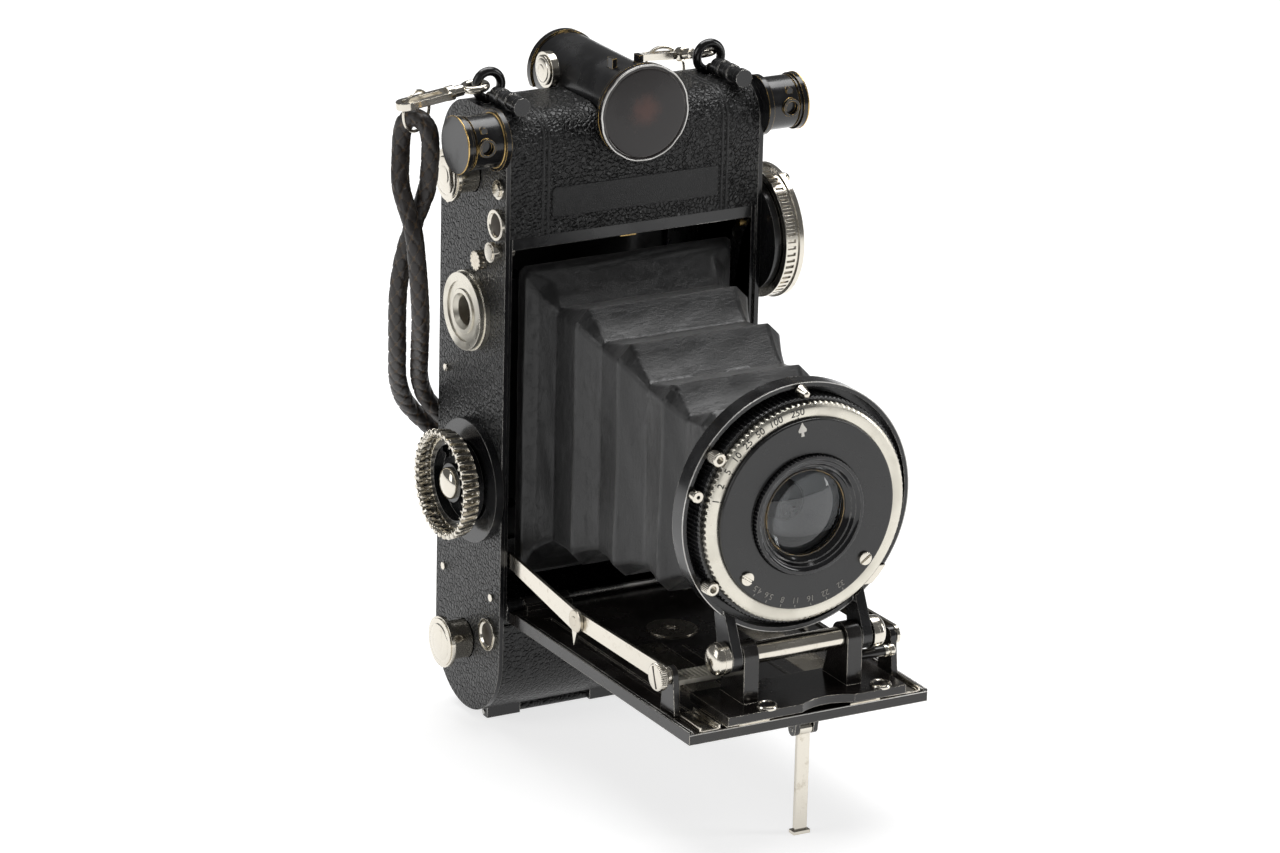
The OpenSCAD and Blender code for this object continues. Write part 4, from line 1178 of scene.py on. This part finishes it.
@dataclass
class BedTrim:
    """Bright trim on the bed: edge lines, rail ends, the saddle's thin plate and its two bushings."""

    bench: Bench
    bed_z: float = 36.4
    front: float = -102.5
    half: float = 37.6

    def strip(self, name: str, x: tuple[float, float], y: tuple[float, float], z: tuple[float, float],
              bevel: float = 0.12) -> bpy.types.Object:
        """A straight flat bar between two corners."""
        outline = np.array([(x[0], y[0]), (x[1], y[0]), (x[1], y[1]), (x[0], y[1])])
        return self.bench.plate(name, outline, z[0], z[1], Axis.Z, bevel)

    def channel(self, x: float, width: float, y: tuple[float, float]) -> list[bpy.types.Object]:
        """A U channel: a floor and two lips."""
        z, t = self.bed_z, 0.45
        return [self.strip("floor", (x, x + width), y, (z - 0.05, z + t)),
                self.strip("lip", (x, x + t * 1.4), y, (z, z + 1.5)),
                self.strip("lip", (x + width - t * 1.4, x + width), y, (z, z + 1.5))]

    def saddle_plate(self) -> bpy.types.Object:
        """The thin bright plate under the saddle: its front edge dips in the middle."""
        x = np.linspace(-27.6, 29.6, 60)
        dip = 8.2 * np.exp(-((x - 4.5) / 11.5) ** 2) - 0.55 * np.exp(-((x + 21) / 7) ** 2)
        outline = np.vstack([np.stack([x, -106.2 + 1.4 + dip * 0.45], -1), [(29.6, -90.0), (-27.6, -90.0)]])
        return self.bench.plate("saddle_plate", outline, self.bed_z + 1.42, self.bed_z + 1.68, Axis.Z, 0.05)

    def bushing(self, x: float, y: float) -> bpy.types.Object:
        """A dished bushing: a rounded rim round a sunk middle."""
        section = [(0.0, -0.3), (3.0, -0.3), (3.1, 0.3), (2.8, 0.75), (2.3, 0.85), (1.9, 0.6), (1.5, 0.2),
                   (0.0, 0.05)]
        return self.bench.turned("bushing", section, (x, y, self.bed_z + 4.1), Axis.Z, closed=False)

    def build(self) -> None:
        """Build the bed's and the saddle's trim."""
        bench, h, z = self.bench, self.half, self.bed_z
        lines = [self.strip("line", (x - 0.18, x + 0.18), (self.front + 0.3, -3.4), (z + 0.4, z + 0.56), 0.05)
                 for x in (-h + 0.3, -h + 1.2, h - 1.2, h - 0.3)]
        lines.append(self.strip("front_line", (-h, h), (self.front - 0.06, self.front + 0.12),
                                (z - 0.35, z - 0.1), 0.04))
        bench.done(bench.join("bed_worn_lines", lines), "bed", "enamel", "steel")
        channels = self.channel(-34.4, 6.6, (-102.2, -88.0)) + self.channel(30.2, 5.2, (-102.2, -90.5))
        bench.done(bench.join("bed_channels", channels), "bed", "nickel", "nickel")
        bench.done(self.saddle_plate(), "carriage", "nickel", "nickel")
        pair = [self.bushing(-13.5, -102.2), self.bushing(22.5, -102.2)]
        bench.done(bench.join("saddle_bushings", pair), "carriage", "nickel", "nickel")
        tip = [(0.0, 0.0), (1.75, 0.0), (1.75, 0.9), (1.35, 1.0), (1.35, 1.7), (1.7, 1.8), (1.7, 3.0),
               (1.3, 3.4), (0.0, 3.4)]
        end = bench.turned("spindle_tip", tip, (28.3, -93.5, 46.5), Axis.X, closed=False)
        bench.done(end, "carriage", "nickel", "nickel")


@dataclass
class SmallTurnings:
    """Turned details on the knobs and wheels, each riding with its own control."""

    bench: Bench

    def dome(self, name: str, at: tuple[float, float, float], radius: float, height: float, body: str,
             finish: str, axis: Axis = Axis.X, side: int = -1) -> None:
        """A domed button.

        Args:
            name: the piece's name.
            at: the middle of its seat.
            radius: its radius.
            height: how far it stands out.
            body: the body that it rides on.
            finish: its finish.
            axis: the direction it looks along.
            side: 1 or -1 along that axis.
        """
        t = np.linspace(0, math.pi / 2, 12)
        bow = [(radius * math.cos(v), side * height * (0.25 + 0.75 * math.sin(v))) for v in t]
        section = [(0.0, -side * 0.3), (radius, -side * 0.3)] + bow
        self.bench.done(self.bench.turned(name, section, at, axis, closed=False), body, "nickel", finish)

    def knob_face(self, name: str, at: tuple[float, float, float], radius: float, body: str) -> None:
        """A slightly domed knob face with two turned grooves."""
        t = np.linspace(1.0, 0.0, 26)
        groove = sum(-0.16 * np.exp(-((t - c) / 0.025) ** 2) for c in (0.42, 0.80))
        bow = [(radius * v, -0.75 * (1 - v * v) + 0.02 - w) for v, w in zip(t, groove)]
        section = [(0.0, 0.3), (radius, 0.3)] + bow
        self.bench.done(self.bench.turned(name, section, at, Axis.X, closed=False), body, "nickel", "nickel")

    def knee(self, side: int) -> None:
        """The round knee disc of a strut, with its small rivet."""
        x = side * 38.05
        section = [(0.0, -side * 1.2), (3.3, -side * 1.2), (3.3, -side * 0.35), (3.0, -side * 0.1),
                   (1.4, 0.0),
                   (1.2, side * 0.15), (0.0, side * 0.15)]
        name = "right" if side > 0 else "left"
        disc = self.bench.turned(f"knee_{name}", section, (x, -38.0, 47.2), Axis.X, closed=False)
        self.bench.done(disc, f"strut_rear_{name[0]}", "nickel", "aged_nickel")

    def barrel_edge(self, side: int) -> None:
        """The bright brass edges on a rangefinder barrel: thin turned rings."""
        rings = []
        for x, radius in ((42.75, 7.8), (54.1, 8.18)):
            section = [(radius - 0.5, side * (x - 0.28)), (radius, side * (x - 0.2)),
                       (radius + 0.06, side * x),
                       (radius, side * (x + 0.12)), (radius - 0.5, side * (x + 0.14))]
            rings.append(self.bench.turned("edge", section, (0.0, 5.5, 174.8), Axis.X, steps=96))
        name = "right" if side > 0 else "left"
        self.bench.done(self.bench.join(f"barrel_edges_{name}", rings), "root", "brass", "brass")

    def winding_wheel(self) -> None:
        """The winding wheel: a flared ring whose outer and inner faces are cut into bright ribs."""
        section = [(14.0, -47.3), (14.9, -47.3), (15.3, -47.6), (15.9, -51.8), (15.6, -52.3), (15.1, -52.4),
                   (14.4, -52.2), (13.9, -51.6), (13.6, -48.0)]

        def ribs(angle: Array, row: Array) -> Array:
            """Deep rounded notches on the outer rows and shallower ones on the inner rows."""
            notch = np.clip(0.5 - 0.62 * np.cos(36 * angle), 0.0, 1.0) ** 1.5
            return np.where((row >= 2) & (row <= 5), -1.35 * notch, np.where(row >= 6, 0.5 * notch, 0.0))

        wheel = self.bench.turned("winding_wheel_ribbed", section, (0.0, 16.1, 72.1), Axis.X, steps=1080,
                                  wave=ribs, sharp=50)
        floor = self.bench.turned("floor", [(11.8, -47.35), (14.2, -47.35), (14.2, -47.9), (11.8, -47.9)],
                                  (0.0, 16.1, 72.1), Axis.X)
        wheel = self.bench.join("winding_wheel_ribbed", [wheel, floor])
        self.bench.done(wheel, "wind", "nickel", "nickel", ["wind_wheel"])

    def paint_hole_shade(self) -> None:
        """Painted shade: brown discs sunk inside the two eyelets and the tripod socket."""
        floors = [self.bench.turned("floor", round_profile(radius, x - 0.1, x + 0.3, 0.05), (0.0, y, z),
                                    Axis.X,
                                    closed=False)
                  for x, y, z, radius in ((-41.45, 6.1, 28.6, 3.35), (-41.45, 4.6, 150.4, 3.1),
                                          (-39.6, 19.4, 121.4, 4.15))]
        # painted shade: these discs stand for the dark inside the holes
        self.bench.done(self.bench.join("eyelet_shade_discs", floors), "root", "enamel", "hole_shade")

    def bed_screw(self) -> None:
        """The slotted screw that holds the left strut to the bed, with a knurled rim; its slot is a thin dark
        plate of painted shade.
        """
        section = [(0.0, -37.4), (3.7, -37.4), (3.9, -37.6), (3.9, -39.3), (3.6, -39.6), (3.0, -39.7),
                   (0.0, -39.75)]
        knurl = lambda angle, row: np.where((row >= 2) & (row <= 3), 0.1 * np.cos(40 * angle) - 0.1, 0.0)
        head = self.bench.turned("bed_screw", section, (0.0, -86.4, 47.8), Axis.X, steps=320, wave=knurl,
                                 closed=False)
        self.bench.done(head, "bed", "nickel", "nickel")
        turn = math.radians(70)
        along, across = np.array([math.cos(turn), math.sin(turn)]) * 3.2, np.array([-math.sin(turn),
                                                                                    math.cos(turn)]) * 0.3
        outline = np.array([along - across, along + across, -along + across,
                            -along - across]) + np.array([-86.4, 47.8])
        # painted shade: a thin dark plate stands for the inside of the slot
        slot = self.bench.plate("bed_screw_slot_shade", outline, -39.8, -39.6, Axis.X, bevel=0)
        self.bench.done(slot, "bed", "nickel", "hole_shade")

    def build(self) -> None:
        """Build every small turning."""
        self.winding_wheel()
        self.paint_hole_shade()
        self.bed_screw()
        self.dome("wind_dome", (-48.4, 16.1, 72.1), 4.6, 2.8, "wind", "nickel")
        self.knob_face("knob_face_lower", (-49.2, 20.5, 22.6), 6.9, "knob_lower")
        self.knob_face("knob_face_upper", (-49.2, 20.5, 161.5), 6.9, "knob_upper")
        self.knob_face("finder_knob_face", (-13.85, 30.0, 185.2), 4.3, "finder_knob")
        for side in (-1, 1):
            self.barrel_edge(side)
            self.knee(side)
            self.dome(f"axle_nut_{side}", (side * 24.3, -94.0, 53.2), 4.5, 3.2, "standard", "nickel",
                      side=side)


@dataclass
class Stage:
    """The pale floor, the lights and the camera."""

    bench: Bench
    to_camera: tuple[float, float, float] = (-0.46826, -0.82130, 0.32590)
    target: tuple[float, float, float] = (-11.1, -25.1, 96.18)
    distance: float = 1684.7
    roll: float = 1.38
    lens: float = 170.4

    def build_camera(self) -> None:
        """Aim the camera at the target from its direction, with the small roll."""
        back = np.array(self.to_camera) / np.linalg.norm(self.to_camera)
        right = np.cross(-back, [0.0, 0.0, 1.0])
        right /= np.linalg.norm(right)
        up = np.cross(right, -back)
        c, s = math.cos(math.radians(self.roll)), math.sin(math.radians(self.roll))
        sideways, upwards = c * right + s * up, -s * right + c * up
        spot = self.bench.axes.place(np.array(self.target) + back * self.distance)
        data = bpy.data.cameras.new("view")
        data.lens, data.sensor_width, data.clip_end = self.lens, 36.0, 50.0
        camera = bpy.data.objects.new("view", data)
        matrix = np.eye(4)
        matrix[:3, 0], matrix[:3, 1], matrix[:3, 2], matrix[:3, 3] = sideways, upwards, back, spot
        camera.matrix_world = Matrix(matrix.tolist())
        bpy.context.scene.collection.objects.link(camera)
        bpy.context.scene.camera = camera

    def softbox(self, name: str, at: tuple[float, float, float], size: tuple[float, float],
                power: float) -> None:
        """An area light that faces the camera body.

        Args:
            name: the light's name.
            at: its place in metres.
            size: its width and height in metres.
            power: its power in watts.
        """
        data = bpy.data.lights.new(name, "AREA")
        data.shape, data.size, data.size_y, data.energy = "RECTANGLE", size[0], size[1], power
        light = bpy.data.objects.new(name, data)
        spot = Vector(at)
        light.location = spot
        light.rotation_euler = (Vector((0, 0, 0.09)) - spot).to_track_quat("-Z", "Y").to_euler()
        bpy.context.scene.collection.objects.link(light)

    def build(self) -> None:
        """Build the floor, lights, surroundings and camera."""
        side, count = 6.0, 2
        x, y = np.meshgrid(np.linspace(-side, side, count), np.linspace(-side, side, count))
        grid = np.stack([x, y, np.zeros_like(x)], -1)
        faces = [(0, 1, 3, 2)]
        floor = self.bench.mesh("floor", grid.reshape(-1, 3), faces, in_metres=True)
        floor.data.materials.append(self.bench.material("backdrop"))
        world = bpy.data.worlds.new("surroundings")
        world.use_nodes = True
        world.node_tree.nodes["Background"].inputs[0].default_value = (1.0, 1.0, 1.0, 1.0)
        world.node_tree.nodes["Background"].inputs[1].default_value = 0.13
        bpy.context.scene.world = world
        self.softbox("overhead softbox", (0.3, 0.5, 1.7), (1.8, 1.2), 34.0)
        self.softbox("left softbox", (-1.5, 0.1, 0.8), (0.7, 1.2), 6.5)
        self.softbox("right softbox", (1.3, -0.7, 0.6), (0.35, 1.0), 6.0)
        bpy.context.scene.view_settings.view_transform = "Standard"
        self.build_camera()


CAD_FINISHES = {
    "body_shell": "rubbed_enamel", "side_left": "side_leather", "side_right": "side_leather",
    "top_cover": "housing_leather", "lower_cover": "housing_leather", "door": "housing_leather",
    "pressure_plate": "satin_enamel", "door_pin": "steel", "door_latch": "nickel", "spool_feed": "spool",
    "spool_takeup": "spool", "knob_upper": "nickel", "knob_lower": "nickel", "socket": "pale_nickel",
    "eyelets": "nickel", "side_screws": "nickel", "release_button": "nickel", "fluted_knob": "aged_nickel",
    "wind_dish": "enamel", "wind_scale": "enamel", "focus_wheel": "nickel",
    "focus_drum": "enamel", "rf_left": "brassy_enamel", "rf_right": "brassy_enamel",
    "rf_caps": "brassy_enamel",
    "finder_tube": "brassy_enamel", "finder_knob": "nickel", "lugs": "rubbed_enamel", "snap_hooks": "nickel",
    "split_rings": "nickel", "strap_clamp": "aged_nickel", "bed_pin": "steel", "bed": "bed_enamel",
    "bed_bush": "aged_nickel", "bed_lever": "pale_nickel", "leg": "nickel", "bed_rails": "aged_nickel",
    "focus_rail": "bed_enamel", "carriage": "bed_enamel", "axle": "nickel", "lens_board": "rubbed_enamel",
    "axle_nuts": "nickel", "front_glass": "glass", "rear_cell": "enamel", "cocking_lever": "nickel",
    "strut_front_left": "nickel", "strut_rear_left": "nickel", "strut_front_right": "nickel",
    "strut_rear_right": "nickel", "catch": "brass",
}


def main() -> None:
    """Dress the frame and build the pieces."""
    logging.basicConfig(level=logging.INFO)
    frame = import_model()
    bench = Bench(BodyAxes.from_frame())
    Stage(bench).build()
    for name, finish in CAD_FINISHES.items():
        bench.dress(frame["nodes"][name], finish)
    Strap(bench).build()
    Bellows(bench).build()
    Shutter(bench).build()
    Housing(bench).build()
    FinderDisc(bench).build()
    SmallTurnings(bench).build()
    BedTrim(bench).build()
    LOG.info("%d new pieces", bench.count)


if __name__ == "__main__":
    main()
